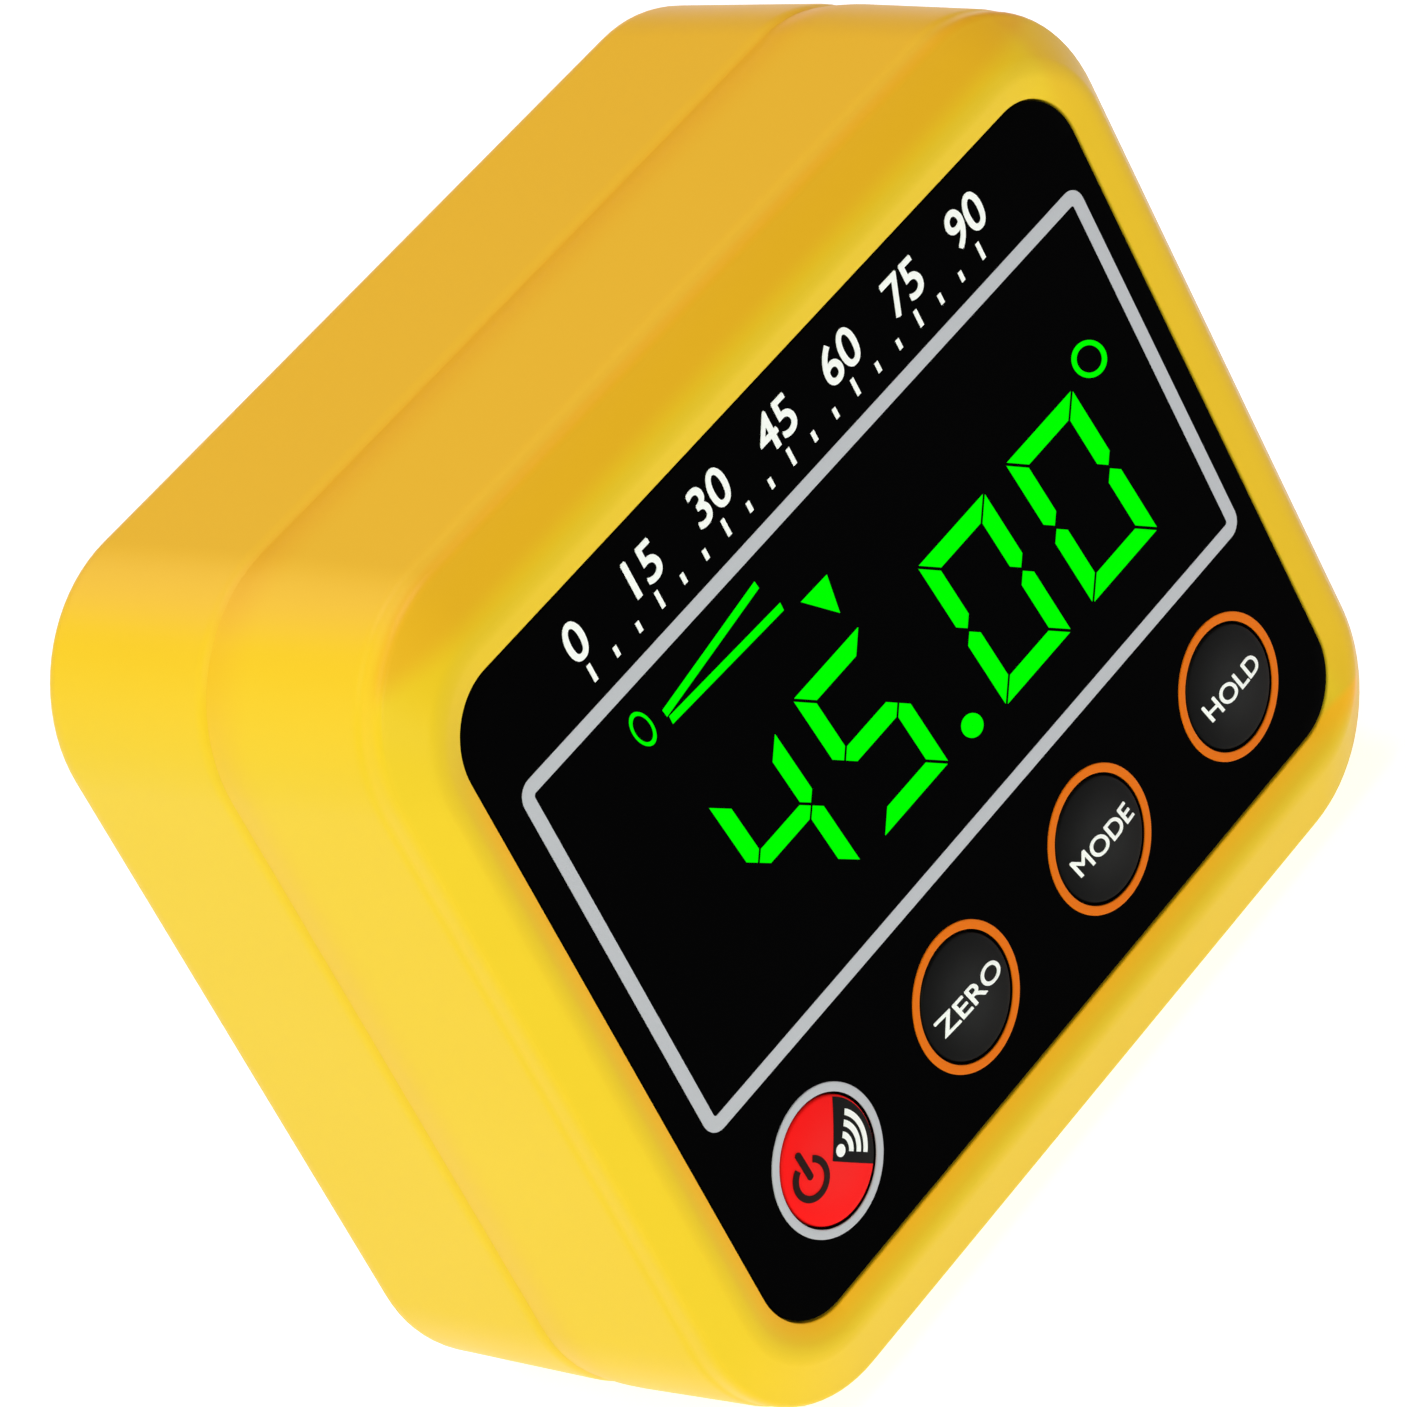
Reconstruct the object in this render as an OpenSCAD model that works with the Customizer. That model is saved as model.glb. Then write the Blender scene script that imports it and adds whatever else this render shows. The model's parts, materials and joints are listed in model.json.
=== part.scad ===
// Digital angle gauge: a two-shell moulded box with a flat magnetic base, a glossy face panel over a lit
// display, four sprung keys and a battery bay in the back.
// Each piece is drawn lying on its back, x to the right, y up the face and z towards the viewer.
// upright() then stands it on its base, with the face towards -Y and the origin under its middle.

/* [Housing] */
// Width of the housing at its seam
body_w = 60; // [58.5:0.5:75]
// Height of the housing from the base to the top
body_h = 52.5; // [51.5:0.5:65]
// Corner radius of the housing, seen from the front
corner_r = 8.8; // [7.6:0.1:10]
// Thickness of the side walls
wall = 2; // [1.7:0.1:2.3]
// Thickness of the back wall
back_wall = 2; // [1.5:0.1:2.6]
// Height of the seam between the covers above the back face
seam_z = 12.25; // [11.4:0.05:12.6]
// Radius of the edge round the back face
back_edge_r = 1.2; // [0.6:0.1:1.6]
// Mould draft of the front cover's side walls, as a slope
front_draft = 0.03; // [0:0.005:0.04]
// Mould draft of the rear cover's side walls, as a slope
rear_draft = 0.01; // [0:0.005:0.02]
// How much is milled off the round of the walls to make the base flat
base_skim = 0.32; // [0.3:0.02:0.5]

/* [Bezel] */
// Depth of the set-back band and shoulder behind the crest of the bezel
band_depth = 3.2; // [2.8:0.1:3.2]
// Set-back of the band from the side walls
band_step = 0.15; // [0.1:0.05:0.3]
// Depth of the sloping shoulder behind the crest of the bezel
shoulder_depth = 1.2; // [0.8:0.1:1.6]
// Width of the sloping rim between the crest and the panel
rim_w = 2.05; // [1.4:0.05:2.4]
// Height of the crest above the face of the panel
crest_rise = 0.4; // [0.4:0.05:0.8]
// Radius of the outer edge of the crest
crest_round = 0.4; // [0.2:0.05:0.6]

/* [Face panel] */
// Width of the face panel
panel_w = 51.9; // [50.5:0.1:53]
// Height of the face panel
panel_h = 41.3; // [40.5:0.1:43]
// Corner radius of the face panel
panel_r = 3.8; // [2.5:0.1:5]
// Thickness of the face panel
panel_t = 1.2; // [0.8:0.1:1.6]
// Gap all round the panel in its pocket
panel_gap = 0.1; // [0.05:0.05:0.2]
// Thickness of the housing wall that carries the panel
front_wall = 1.6; // [1.4:0.1:2.2]

/* [Display] */
// Width of the display window
window_w = 46.7; // [42:0.1:47.5]
// Height of the display window
window_h = 20.8; // [18:0.1:21.5]
// Height of the window's middle above the middle of the panel
window_rise = 3.4; // [3:0.1:4]
// How far the display glass runs past the window at each end
glass_lap_x = 1.3; // [0.8:0.1:1.5]
// How far the display glass runs past the window above and below
glass_lap_y = 2.5; // [2.2:0.1:2.6]
// Thickness of the display glass
glass_t = 2.2; // [1.6:0.1:2.8]
// Thickness of the foam gasket in front of the glass
gasket_t = 0.3; // [0.2:0.05:0.6]
// Thickness of the light guide behind the glass
guide_t = 2.7; // [2.2:0.1:3.5]
// Width of the contact strips above and below the light guide
strip_w = 1.6; // [1.2:0.1:1.7]

/* [Keys] */
// Radius of a key
key_r = 3.25; // [2.6:0.05:3.4]
// Gap round a key in its hole
key_gap = 0.2; // [0.15:0.05:0.3]
// Distance between neighbouring keys
key_pitch = 12.45; // [11.9:0.05:12.6]
// Distance of the row of keys below the middle of the panel
key_drop = 14.3; // [14.2:0.1:14.6]
// Height of a key's crown above the face of the panel
key_rise = 0.35; // [0.2:0.05:0.4]
// Rise of the crown over a key's edge
key_crown = 0.3; // [0.15:0.05:0.35]
// How far a key goes in when pressed
key_travel = 0.5; // [0.3:0.05:0.6]
// How far the collar that keeps a key in runs past its hole
collar_lap = 0.85; // [0.5:0.05:0.95]
// Thickness of that collar
collar_t = 0.8; // [0.6:0.1:1]
// Width of a key switch
switch_w = 6; // [5:0.1:6.4]
// Radius of a switch's plunger
plunger_r = 1.75; // [1.2:0.05:2]

/* [Circuit board] */
// Thickness of the circuit board
board_t = 1.2; // [0.8:0.1:1.6]
// Room behind the board for its parts
board_room = 2.4; // [2:0.1:4]

/* [Battery bay] */
// Diameter of a battery cell
cell_d = 10.5; // [9.8:0.1:10.6]
// Length of a battery cell with its tip
cell_len = 44.5; // [42:0.5:45]
// Gap round a cell in the bay
cell_gap = 0.35; // [0.2:0.05:0.4]
// Thickness of the bay's own walls
bay_wall = 1.2; // [0.8:0.1:1.5]
// Thickness of the battery door
door_t = 1.6; // [1.2:0.1:2]
// Width of the ledge that the door lies on
door_ledge = 1.8; // [1.2:0.1:1.9]
// Gap round the door in its recess
door_gap = 0.3; // [0.2:0.05:0.4]
// Length of the compressed coil springs
spring_len = 2.6; // [2.4:0.1:2.8]
// Thickness of the contact plates
contact_t = 0.4; // [0.3:0.05:0.5]

/* [Base magnets] */
// Radius of a base magnet
magnet_r = 3.5; // [2.5:0.1:3.6]
// Thickness of a base magnet
magnet_t = 3; // [2:0.1:3.2]
// Distance of the magnets from the middle of the base
magnet_x = 16; // [14.5:0.5:17]

/* [Hidden] */
$fn = 64;

// Small allowances shared by the pieces: an overshoot for cuts and a close gap between fitted pieces
over = 1;
fit = 0.05;
slip = 0.1;

// Levels of the stack above the back face, from the door to the crest of the bezel
door_in_z = door_t;
cell_z = door_in_z + cell_gap + cell_d / 2;
bay_floor_z = door_in_z + 2 * cell_gap + cell_d;
bay_top_z = bay_floor_z + bay_wall;
board_back_z = bay_top_z + board_room;
board_front_z = board_back_z + board_t;
guide_front_z = board_front_z + guide_t;
glass_front_z = guide_front_z + glass_t;
wall_back_z = glass_front_z + gasket_t;
panel_back_z = wall_back_z + front_wall;
face_z = panel_back_z + panel_t;
crest_z = face_z + crest_rise;
body_d = crest_z;

// Housing outline before its base is milled flat, and its middle
outline_h = body_h + base_skim;
outline_y = (body_h - base_skim) / 2;
mid_y = body_h / 2;
cavity_w = body_w - 2 * wall;
cavity_h = body_h - 2 * wall;
cavity_r = corner_r - wall;

// Bezel levels, and the valley that the two covers form at their seam
band_z = crest_z - band_depth;
shoulder_z = crest_z - shoulder_depth;
valley_depth = 0.2;
valley_run = 1.6;
rear_lip_run = 0.5;
band_inset = front_draft * (band_z - seam_z - valley_run) + band_step;
crest_w = panel_w + 2 * rim_w;
crest_h = panel_h + 2 * rim_w;
crest_r = panel_r + rim_w;
rim_drop = 0.35;
crest_steps = 3;
bezel_fn = 32;

// Tongue of the rear cover inside the front cover's wall
tongue_t = wall / 2 - slip;
tongue_h = 1.5;

// Corner bosses and the screws in them
boss_r = 2.6;
boss_set_in = 1.4;
boss_x = body_w / 2 - wall - boss_r - boss_set_in;
boss_low_y = wall + boss_r + boss_set_in;
boss_glass_gap = 0.4;
glass_top_y = mid_y + window_rise + window_h / 2 + glass_lap_y;
boss_high_y = max(body_h - boss_low_y, glass_top_y + boss_glass_gap + boss_r);
boss_spots = [for (sx = [-1, 1], y = [boss_low_y, boss_high_y]) [sx * boss_x, y]];
screw_r = 0.9;
screw_head_r = 2;
screw_head_h = 1.5;
screw_seat_z = 3;
screw_bite = 6.5;
cross_len = 1.2;
cross_w = 0.3;
cross_depth = 0.45;

// Display glass and what lies behind it
window_x = 0.2;
window_lap = 0.5;
window_y = mid_y + window_rise;
glass_w = window_w + 2 * glass_lap_x;
glass_h = window_h + 2 * glass_lap_y;
strip_len = window_w + 2 * window_lap;
strip_gap = 0.25;
guide_h = glass_h - 2 * (strip_w + 2 * strip_gap);
strip_y = glass_h / 2 - strip_gap - strip_w / 2;
led_size = [1.6, 3, 1.6];
led_edge = 0.5;
led_spread = 12;

// Row of keys, their collars and the switches behind them
key_y = mid_y - key_drop;
key_row_x = 0.1;
key_x = [for (i = [-1.5:1:1.5]) key_row_x + i * key_pitch];
key_hole_r = key_r + key_gap;
collar_r = key_hole_r + collar_lap;
collar_front_z = wall_back_z - slip;
key_back_z = collar_front_z - collar_t;
key_dome_r = (key_r * key_r + key_crown * key_crown) / (2 * key_crown);
press_room = 0.3;
switch_top_z = key_back_z - key_travel - press_room;
switch_corner_r = 0.5;
plunger_sink = 1;
plunger_gap = 0.1;

// Circuit board, its corner notches and the posts that carry it
magnet_cup = 0.8;
board_gap = 0.4;
board_low_y = magnet_t + slip + magnet_cup + board_gap;
board_high_y = body_h - wall - board_gap;
board_half_w = cavity_w / 2 - board_gap;
led_x = led_edge + led_size[0] / 2 - board_half_w;
guide_left = led_x + led_size[0] / 2 + slip;
guide_right = window_x + window_w / 2 + window_lap;
notch = boss_r + board_gap;
post_r = 1.9;
post_gap = 0.5;
post_x = 17;
post_high_y = glass_top_y + post_r + post_gap;
post_low_y = board_low_y + post_r + post_gap;
post_spots = [[-post_x, post_high_y], [post_x, post_high_y],
              [(key_x[0] + key_x[1]) / 2, post_low_y], [(key_x[2] + key_x[3]) / 2, post_low_y]];
post_screw_r = 0.65;
post_screw_bite = 3.5;
post_head_r = 1.4;
post_head_h = 1;
controller_size = [7, 7, 1.2];
controller_x = 10;
sensor_size = [3, 3, 1];
chip_y = board_high_y - controller_size[1];

// Battery bay, the door over it and the contacts at its ends
tip_r = 1.9;
tip_len = 1;
pad_h = 0.5;
cell_pitch = cell_d + cell_gap;
bay_w = cell_len + spring_len + 2 * (contact_t + slip) + pad_h;
bay_h = 2 * cell_d + 3 * cell_gap;
bay_r = 1;
recess_w = bay_w + 2 * door_ledge;
recess_h = bay_h + 2 * door_ledge;
recess_r = 2.5;
frame_wall = 1.1;
ledge_t = 1.4;
plate_w = 8;
plate_y = 8;
leg_w = 2;
spring_wire_r = 0.3;
spring_base_r = 3.4;
spring_top_r = 2.4;
spring_turns = 3;
spring_steps = 20;
spring_sides = 8;
rib_t = 1;
rib_h = 1.2;
rib_len = 32;
latch_w = 12;
latch_slit = 0.8;
latch_len = 7;
grip_r = 0.4;
grip_pitch = 1.5;
grip_count = 4;
thumb_r = 6;
thumb_depth = 0.9;

// Base magnets
magnet_front_z = seam_z + tongue_h + 2 * slip + magnet_r + magnet_cup;
magnet_rear_z = back_wall + magnet_r + magnet_cup;

// Stands a piece, drawn lying on its back, on its base
module upright() {
    translate([0, body_d / 2, 0]) rotate([90, 0, 0]) children();
}

// Rectangle round the origin with true round corners
module rounded_rect(w, h, r) {
    square([w - 2 * r, h], center = true);
    square([w, h - 2 * r], center = true);
    for (sx = [-1, 1], sy = [-1, 1]) translate([sx * (w / 2 - r), sy * (h / 2 - r)]) circle(r);
}

// Plate of a rounded rectangle between two levels
module slab(w, h, r, z0, z1) {
    translate([0, 0, z0]) linear_extrude(z1 - z0) rounded_rect(w, h, r);
}

// Sweeps a wall section round a rounded rectangle and fills the middle.
// The section's x runs from -r on the inside to 0 on the outline, and its y is the height.
module swept_block(w, h, r, z0, z1) {
    rotate([90, 0, 0]) linear_extrude(h - 2 * r, center = true) mirrored_section(w, r, z0, z1) children();
    rotate([90, 0, 90]) linear_extrude(w - 2 * r, center = true) mirrored_section(h, r, z0, z1) children();
    for (i = [0:3]) {
        sx = i == 0 || i == 3 ? 1 : -1;
        sy = i < 2 ? 1 : -1;
        translate([sx * (w / 2 - r), sy * (h / 2 - r), 0])
            rotate([0, 0, 90 * i]) rotate_extrude(angle = 90) translate([r, 0]) children();
    }
}

// A wall section at both ends of a width, with the middle filled
module mirrored_section(w, r, z0, z1) {
    translate([w / 2, 0]) children();
    mirror([1, 0]) translate([w / 2, 0]) children();
    translate([r - w / 2, z0]) square([w - 2 * r, z1 - z0]);
}

// Wall section of the front cover, from the valley at the seam to the step under the bezel
module front_section() {
    polygon([[-corner_r, seam_z], [-valley_depth, seam_z], [0, seam_z + valley_run],
             [band_step - band_inset, band_z], [-corner_r, band_z]]);
}

// Wall section of the rear cover, from the round back edge to the seam
module rear_section() {
    back_in = rear_draft * (seam_z - rear_lip_run - back_edge_r);
    polygon([[-corner_r, 0], [-back_in - back_edge_r, 0], [-back_in - back_edge_r, back_edge_r],
             [-back_in, back_edge_r], [0, seam_z - rear_lip_run], [-valley_depth, seam_z],
             [-corner_r, seam_z]]);
    translate([-back_in - back_edge_r, back_edge_r]) circle(back_edge_r);
}

// Space below the milled base
module under_base() {
    translate([-body_w, -body_h, -over]) cube([2 * body_w, body_h, body_d + 2 * over]);
}

// Set-back band and sloping shoulder of the bezel
module bezel() {
    band_w = body_w - 2 * band_inset;
    band_h = outline_h - 2 * band_inset;
    hull($fn = bezel_fn) {
        translate([0, outline_y, 0]) slab(band_w, band_h, corner_r - band_inset, band_z - over, shoulder_z);
        for (i = [0:crest_steps]) {
            set_in = crest_round * (1 - cos(90 * i / crest_steps));
            top = crest_z - crest_round * (1 - sin(90 * i / crest_steps));
            translate([0, mid_y, 0])
                slab(crest_w - 2 * set_in, crest_h - 2 * set_in, crest_r - set_in, shoulder_z, top);
        }
    }
}

// Dished rim that falls from the crest to the panel
module rim_dish() {
    dish_in = crest_round + slip;
    hull($fn = bezel_fn) {
        translate([0, mid_y, 0])
            slab(crest_w - 2 * dish_in, crest_h - 2 * dish_in, crest_r - dish_in, crest_z, crest_z + over);
        translate([0, mid_y, 0])
            slab(panel_w + 2 * panel_gap, panel_h + 2 * panel_gap, panel_r + panel_gap, crest_z - rim_drop,
                 crest_z);
    }
}

// Upright pin along y, for what goes into the base
module base_pin(r, y0, y1, x, z) {
    translate([x, y0, z]) rotate([-90, 0, 0]) cylinder(r = r, h = y1 - y0);
}

module at_corners(z) {
    for (p = boss_spots) translate([p[0], p[1], z]) children();
}

module at_posts(z) {
    for (p = post_spots) translate([p[0], p[1], z]) children();
}

module front_cover() color("gold") upright() difference() {
    union() {
        difference() {
            union() {
                translate([0, outline_y, 0])
                    swept_block(body_w, outline_h, corner_r, seam_z, band_z) front_section();
                bezel();
            }
            translate([0, mid_y, 0]) slab(cavity_w, cavity_h, cavity_r, seam_z - over, wall_back_z);
            translate([0, mid_y, 0])
                slab(cavity_w + 2 * (tongue_t + slip), cavity_h + 2 * (tongue_t + slip),
                     cavity_r + tongue_t + slip, seam_z - over, seam_z + tongue_h + slip);
        }
        at_corners(seam_z) cylinder(r = boss_r, h = wall_back_z - seam_z + fit);
        at_posts(board_front_z) cylinder(r = post_r, h = wall_back_z - board_front_z + fit);
        for (s = [-1, 1])
            base_pin(magnet_r + magnet_cup, base_skim, magnet_t + slip + magnet_cup, s * magnet_x,
                     magnet_front_z);
    }
    under_base();
    rim_dish();
    translate([0, mid_y, 0])
        slab(panel_w + 2 * panel_gap, panel_h + 2 * panel_gap, panel_r + panel_gap, panel_back_z, crest_z);
    translate([window_x, window_y, wall_back_z - over])
        linear_extrude(front_wall + 2 * over) square([window_w, window_h], center = true);
    for (x = key_x)
        translate([x, key_y, wall_back_z - over]) cylinder(r = key_hole_r, h = front_wall + 2 * over);
    at_corners(seam_z - over) cylinder(r = screw_r + fit, h = screw_bite + over + slip);
    at_posts(board_front_z - over) cylinder(r = post_screw_r + fit, h = post_screw_bite + over + slip);
    for (s = [-1, 1]) base_pin(magnet_r + fit, -over, magnet_t + slip, s * magnet_x, magnet_front_z);
}

module rear_cover() color("gold") upright() difference() {
    union() {
        difference() {
            translate([0, outline_y, 0]) swept_block(body_w, outline_h, corner_r, 0, seam_z) rear_section();
            translate([0, mid_y, 0]) slab(cavity_w, cavity_h, cavity_r, back_wall, seam_z + over);
        }
        difference() {
            translate([0, mid_y, 0])
                slab(cavity_w + 2 * tongue_t, cavity_h + 2 * tongue_t, cavity_r + tongue_t, seam_z - over,
                     seam_z + tongue_h);
            translate([0, mid_y, 0])
                slab(cavity_w, cavity_h, cavity_r, seam_z - 2 * over, seam_z + tongue_h + over);
        }
        at_corners(back_wall - over) cylinder(r = boss_r, h = seam_z - back_wall + over);
        translate([0, mid_y, 0])
            slab(bay_w + 2 * bay_wall, bay_h + 2 * bay_wall, bay_r + bay_wall, back_wall - over, bay_top_z);
        translate([0, mid_y, 0])
            slab(recess_w + 2 * frame_wall, recess_h + 2 * frame_wall, recess_r + frame_wall,
                 back_wall - over, door_t + ledge_t);
        for (s = [-1, 1])
            base_pin(magnet_r + magnet_cup, base_skim, magnet_t + slip + magnet_cup, s * magnet_x,
                     magnet_rear_z);
    }
    under_base();
    translate([0, mid_y, 0]) slab(bay_w, bay_h, bay_r, -over, bay_floor_z);
    translate([0, mid_y, 0]) slab(recess_w, recess_h, recess_r, -over, door_t + fit);
    translate([0, mid_y + recess_h / 2, 0]) thumb_scoop();
    for (y = [-1, 1])
        translate([bay_w / 2 - slip - contact_t / 2, mid_y + y * cell_pitch / 2, bay_floor_z - over])
            linear_extrude(bay_wall + 2 * over)
                square([contact_t + 2 * slip, leg_w + 2 * slip], center = true);
    at_corners(-over) cylinder(r = screw_head_r + key_gap, h = screw_seat_z + over);
    at_corners(-over) cylinder(r = screw_r + key_gap, h = seam_z + 2 * over);
    for (s = [-1, 1]) base_pin(magnet_r + fit, -over, magnet_t + slip, s * magnet_x, magnet_rear_z);
}

// Shallow half-round scoop for a thumb at the door's latch
module thumb_scoop() {
    translate([0, 0, -over]) intersection() {
        cylinder(r = thumb_r, h = thumb_depth + over);
        translate([-thumb_r, -fit, 0]) cube([2 * thumb_r, thumb_r + over, thumb_depth + over]);
    }
}

module battery_door() color("gold") upright() translate([0, mid_y, 0]) {
    w = recess_w - 2 * door_gap;
    h = recess_h - 2 * door_gap;
    rib_y = bay_h / 2 - door_gap - rib_t;
    difference() {
        union() {
            slab(w, h, recess_r - door_gap, 0, door_t);
            for (s = [-1, 1])
                translate([-rib_len / 2, s > 0 ? rib_y : -rib_y - rib_t, door_t - fit])
                    cube([rib_len, rib_t, rib_h + fit]);
        }
        for (s = [-1, 1])
            translate([s * latch_w / 2 - latch_slit / 2, h / 2 - latch_len, -over])
                cube([latch_slit, latch_len + over, door_t + rib_h + 2 * over]);
        for (i = [1:grip_count])
            translate([0, h / 2 - i * grip_pitch, 0]) rotate([0, 90, 0])
                cylinder(r = grip_r, h = latch_w - 2 * grip_pitch, center = true);
    }
}

module face_panel() color("#101012") upright() difference() {
    translate([0, mid_y, 0]) slab(panel_w, panel_h, panel_r, panel_back_z, face_z);
    for (x = key_x)
        translate([x, key_y, panel_back_z - over]) cylinder(r = key_hole_r, h = panel_t + 2 * over);
}

// Key with a crowned top and a collar behind the wall
module key(i) {
    upright() translate([key_x[i], key_y, 0]) {
        intersection() {
            translate([0, 0, key_back_z]) cylinder(r = key_r, h = face_z + key_rise - key_back_z);
            translate([0, 0, face_z + key_rise - key_dome_r]) sphere(key_dome_r);
        }
        translate([0, 0, key_back_z]) cylinder(r = collar_r, h = collar_t);
    }
}

module power_key() color("#e02424") key(0);
module zero_key() color("#232325") key(1);
module mode_key() color("#232325") key(2);
module hold_key() color("#232325") key(3);

// Plunger of a switch, which the key pushes
module plunger(i) {
    upright() translate([key_x[i], key_y, switch_top_z - plunger_sink])
        cylinder(r = plunger_r, h = key_back_z - switch_top_z + plunger_sink);
}

module power_plunger() color("#2b2b2b") plunger(0);
module zero_plunger() color("#2b2b2b") plunger(1);
module mode_plunger() color("#2b2b2b") plunger(2);
module hold_plunger() color("#2b2b2b") plunger(3);

// Square push switch with a well for its plunger
module switch(i) {
    upright() translate([key_x[i], key_y, board_front_z]) difference() {
        linear_extrude(switch_top_z - board_front_z) rounded_rect(switch_w, switch_w, switch_corner_r);
        translate([0, 0, switch_top_z - board_front_z - plunger_sink - key_travel - press_room])
            cylinder(r = plunger_r + plunger_gap, h = plunger_sink + key_travel + press_room + over);
    }
}

module power_switch() color("silver") switch(0);
module zero_switch() color("silver") switch(1);
module mode_switch() color("silver") switch(2);
module hold_switch() color("silver") switch(3);

module circuit_board() color("darkgreen") upright() difference() {
    translate([-board_half_w, board_low_y, board_back_z])
        cube([2 * board_half_w, board_high_y - board_low_y, board_t]);
    for (p = boss_spots)
        translate([p[0] < 0 ? -body_w / 2 : p[0] - notch, p[1] < mid_y ? 0 : p[1] - notch,
                   board_back_z - over])
            cube([body_w / 2 - boss_x + notch, boss_low_y + notch, board_t + 2 * over]);
    at_posts(board_back_z - over) cylinder(r = post_screw_r + key_gap, h = board_t + 2 * over);
}

// Chip on the back of the board
module back_chip(size, x) {
    upright() translate([x - size[0] / 2, chip_y - size[1] / 2, board_back_z - size[2]]) cube(size);
}

module tilt_sensor() color("#1c1c1e") back_chip(sensor_size, 0);
module controller_chip() color("#1c1c1e") back_chip(controller_size, controller_x);

module backlight_leds() color("white") upright() {
    for (s = [-1, 1])
        translate([led_x - led_size[0] / 2, window_y + s * led_spread / 2 - led_size[1] / 2, board_front_z])
            cube(led_size);
}

module display_glass() color("#2a3a2c") upright() translate([window_x, window_y, guide_front_z])
    linear_extrude(glass_t) square([glass_w, glass_h], center = true);

module display_gasket() color("#161616") upright() translate([window_x, window_y, glass_front_z])
    linear_extrude(gasket_t) difference() {
        square([glass_w, glass_h], center = true);
        square([window_w, window_h], center = true);
    }

module light_guide() color("whitesmoke") upright()
    translate([guide_left, window_y - guide_h / 2, board_front_z])
        cube([guide_right - guide_left, guide_h, guide_t]);

// Rubber strip that joins the glass to the board
module contact_strip(side) {
    upright() translate([window_x, window_y + side * strip_y, board_front_z])
        linear_extrude(guide_t) square([strip_len, strip_w], center = true);
}

module contact_strip_upper() color("#3a3a3a") contact_strip(1);
module contact_strip_lower() color("#3a3a3a") contact_strip(-1);

// Battery cell along x, its tip towards the side given
module cell(row, side) {
    flat_end = bay_w / 2 - slip - contact_t - spring_len;
    can_len = cell_len - tip_len;
    upright() translate([-side * flat_end, mid_y + row * cell_pitch / 2, cell_z]) rotate([0, side * 90, 0]) {
        cylinder(r = cell_d / 2, h = can_len);
        translate([0, 0, can_len]) cylinder(r = tip_r, h = tip_len);
    }
}

module cell_upper() color("#3d4a55") cell(1, 1);
module cell_lower() color("#3d4a55") cell(-1, -1);

// Contact plate on an end wall of the bay, with a raised pad for a cell's tip on each row named
module end_plate(side, low, high, pads) {
    plate_x = side * (bay_w / 2 - slip - contact_t / 2);
    translate([plate_x, mid_y + (low + high) / 2, cell_z])
        cube([contact_t, high - low, plate_w], center = true);
    for (row = pads)
        translate([plate_x, mid_y + row * cell_pitch / 2, cell_z]) rotate([0, -side * 90, 0])
            cylinder(r = tip_r + tip_len, h = contact_t / 2 + pad_h);
}

// Solder leg of a contact plate, through the floor of the bay to the board
module plate_leg(row) {
    translate([bay_w / 2 - slip - contact_t / 2, mid_y + row * cell_pitch / 2, (cell_z + board_back_z) / 2])
        cube([contact_t, leg_w, board_back_z - cell_z], center = true);
}

module bridge_contact() color("silver") upright()
    end_plate(-1, -(cell_pitch + plate_y) / 2, (cell_pitch + plate_y) / 2, [-1]);

module positive_terminal() color("silver") upright() {
    end_plate(1, (cell_pitch - plate_y) / 2, (cell_pitch + plate_y) / 2, [1]);
    plate_leg(1);
}

module negative_terminal() color("silver") upright() {
    end_plate(1, -(cell_pitch + plate_y) / 2, -(cell_pitch - plate_y) / 2, []);
    plate_leg(-1);
}

// Conical coil spring: rings of points round the wire along a helix, from the plate to the cell
spring_rings = spring_steps * spring_turns;
function spring_point(k, j) =
    let (t = k / spring_rings, turn = 360 * spring_turns * t, round = 360 * j / spring_sides)
    let (coil_r = spring_base_r + (spring_top_r - spring_base_r) * t + spring_wire_r * cos(round))
    let (lift = spring_wire_r + (spring_len - 2 * spring_wire_r) * t + spring_wire_r * sin(round))
    [coil_r * cos(turn), coil_r * sin(turn), lift];

module coil_spring(row, side) {
    points = [for (k = [0:spring_rings], j = [0:spring_sides - 1]) spring_point(k, j)];
    skin = [for (k = [0:spring_rings - 1], j = [0:spring_sides - 1])
        let (a = k * spring_sides + j, b = k * spring_sides + (j + 1) % spring_sides)
        [a, a + spring_sides, b + spring_sides, b]];
    ends = [[for (j = [0:spring_sides - 1]) j],
            [for (j = [spring_sides - 1:-1:0]) spring_rings * spring_sides + j]];
    upright() translate([side * (bay_w / 2 - slip - contact_t), mid_y + row * cell_pitch / 2, cell_z])
        rotate([0, -side * 90, 0]) polyhedron(points, concat(skin, ends));
}

module bridge_spring() color("silver") coil_spring(1, -1);
module negative_spring() color("silver") coil_spring(-1, 1);

// Magnet disc, flush in the base
module magnet(side, z) {
    upright() base_pin(magnet_r, slip / 2, magnet_t, side * magnet_x, z);
}

module magnet_front_left() color("silver") magnet(-1, magnet_front_z);
module magnet_front_right() color("silver") magnet(1, magnet_front_z);
module magnet_rear_left() color("silver") magnet(-1, magnet_rear_z);
module magnet_rear_right() color("silver") magnet(1, magnet_rear_z);

module housing_screws() color("silver") upright() at_corners(screw_seat_z - screw_head_h) difference() {
    union() {
        cylinder(r = screw_head_r, h = screw_head_h);
        cylinder(r = screw_r, h = seam_z + screw_bite - screw_seat_z + screw_head_h);
    }
    cross_recess(screw_head_r);
}

module board_screws() color("silver") upright() at_posts(board_back_z - post_head_h) difference() {
    union() {
        cylinder(r = post_head_r, h = post_head_h);
        cylinder(r = post_screw_r, h = post_head_h + board_t + post_screw_bite);
    }
    cross_recess(post_head_r);
}

// Cross slot in a screw head
module cross_recess(head_r) {
    for (a = [0, 90]) rotate([0, 0, a])
        cube([cross_len, cross_w, 2 * cross_depth] * head_r, center = true);
}

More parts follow.
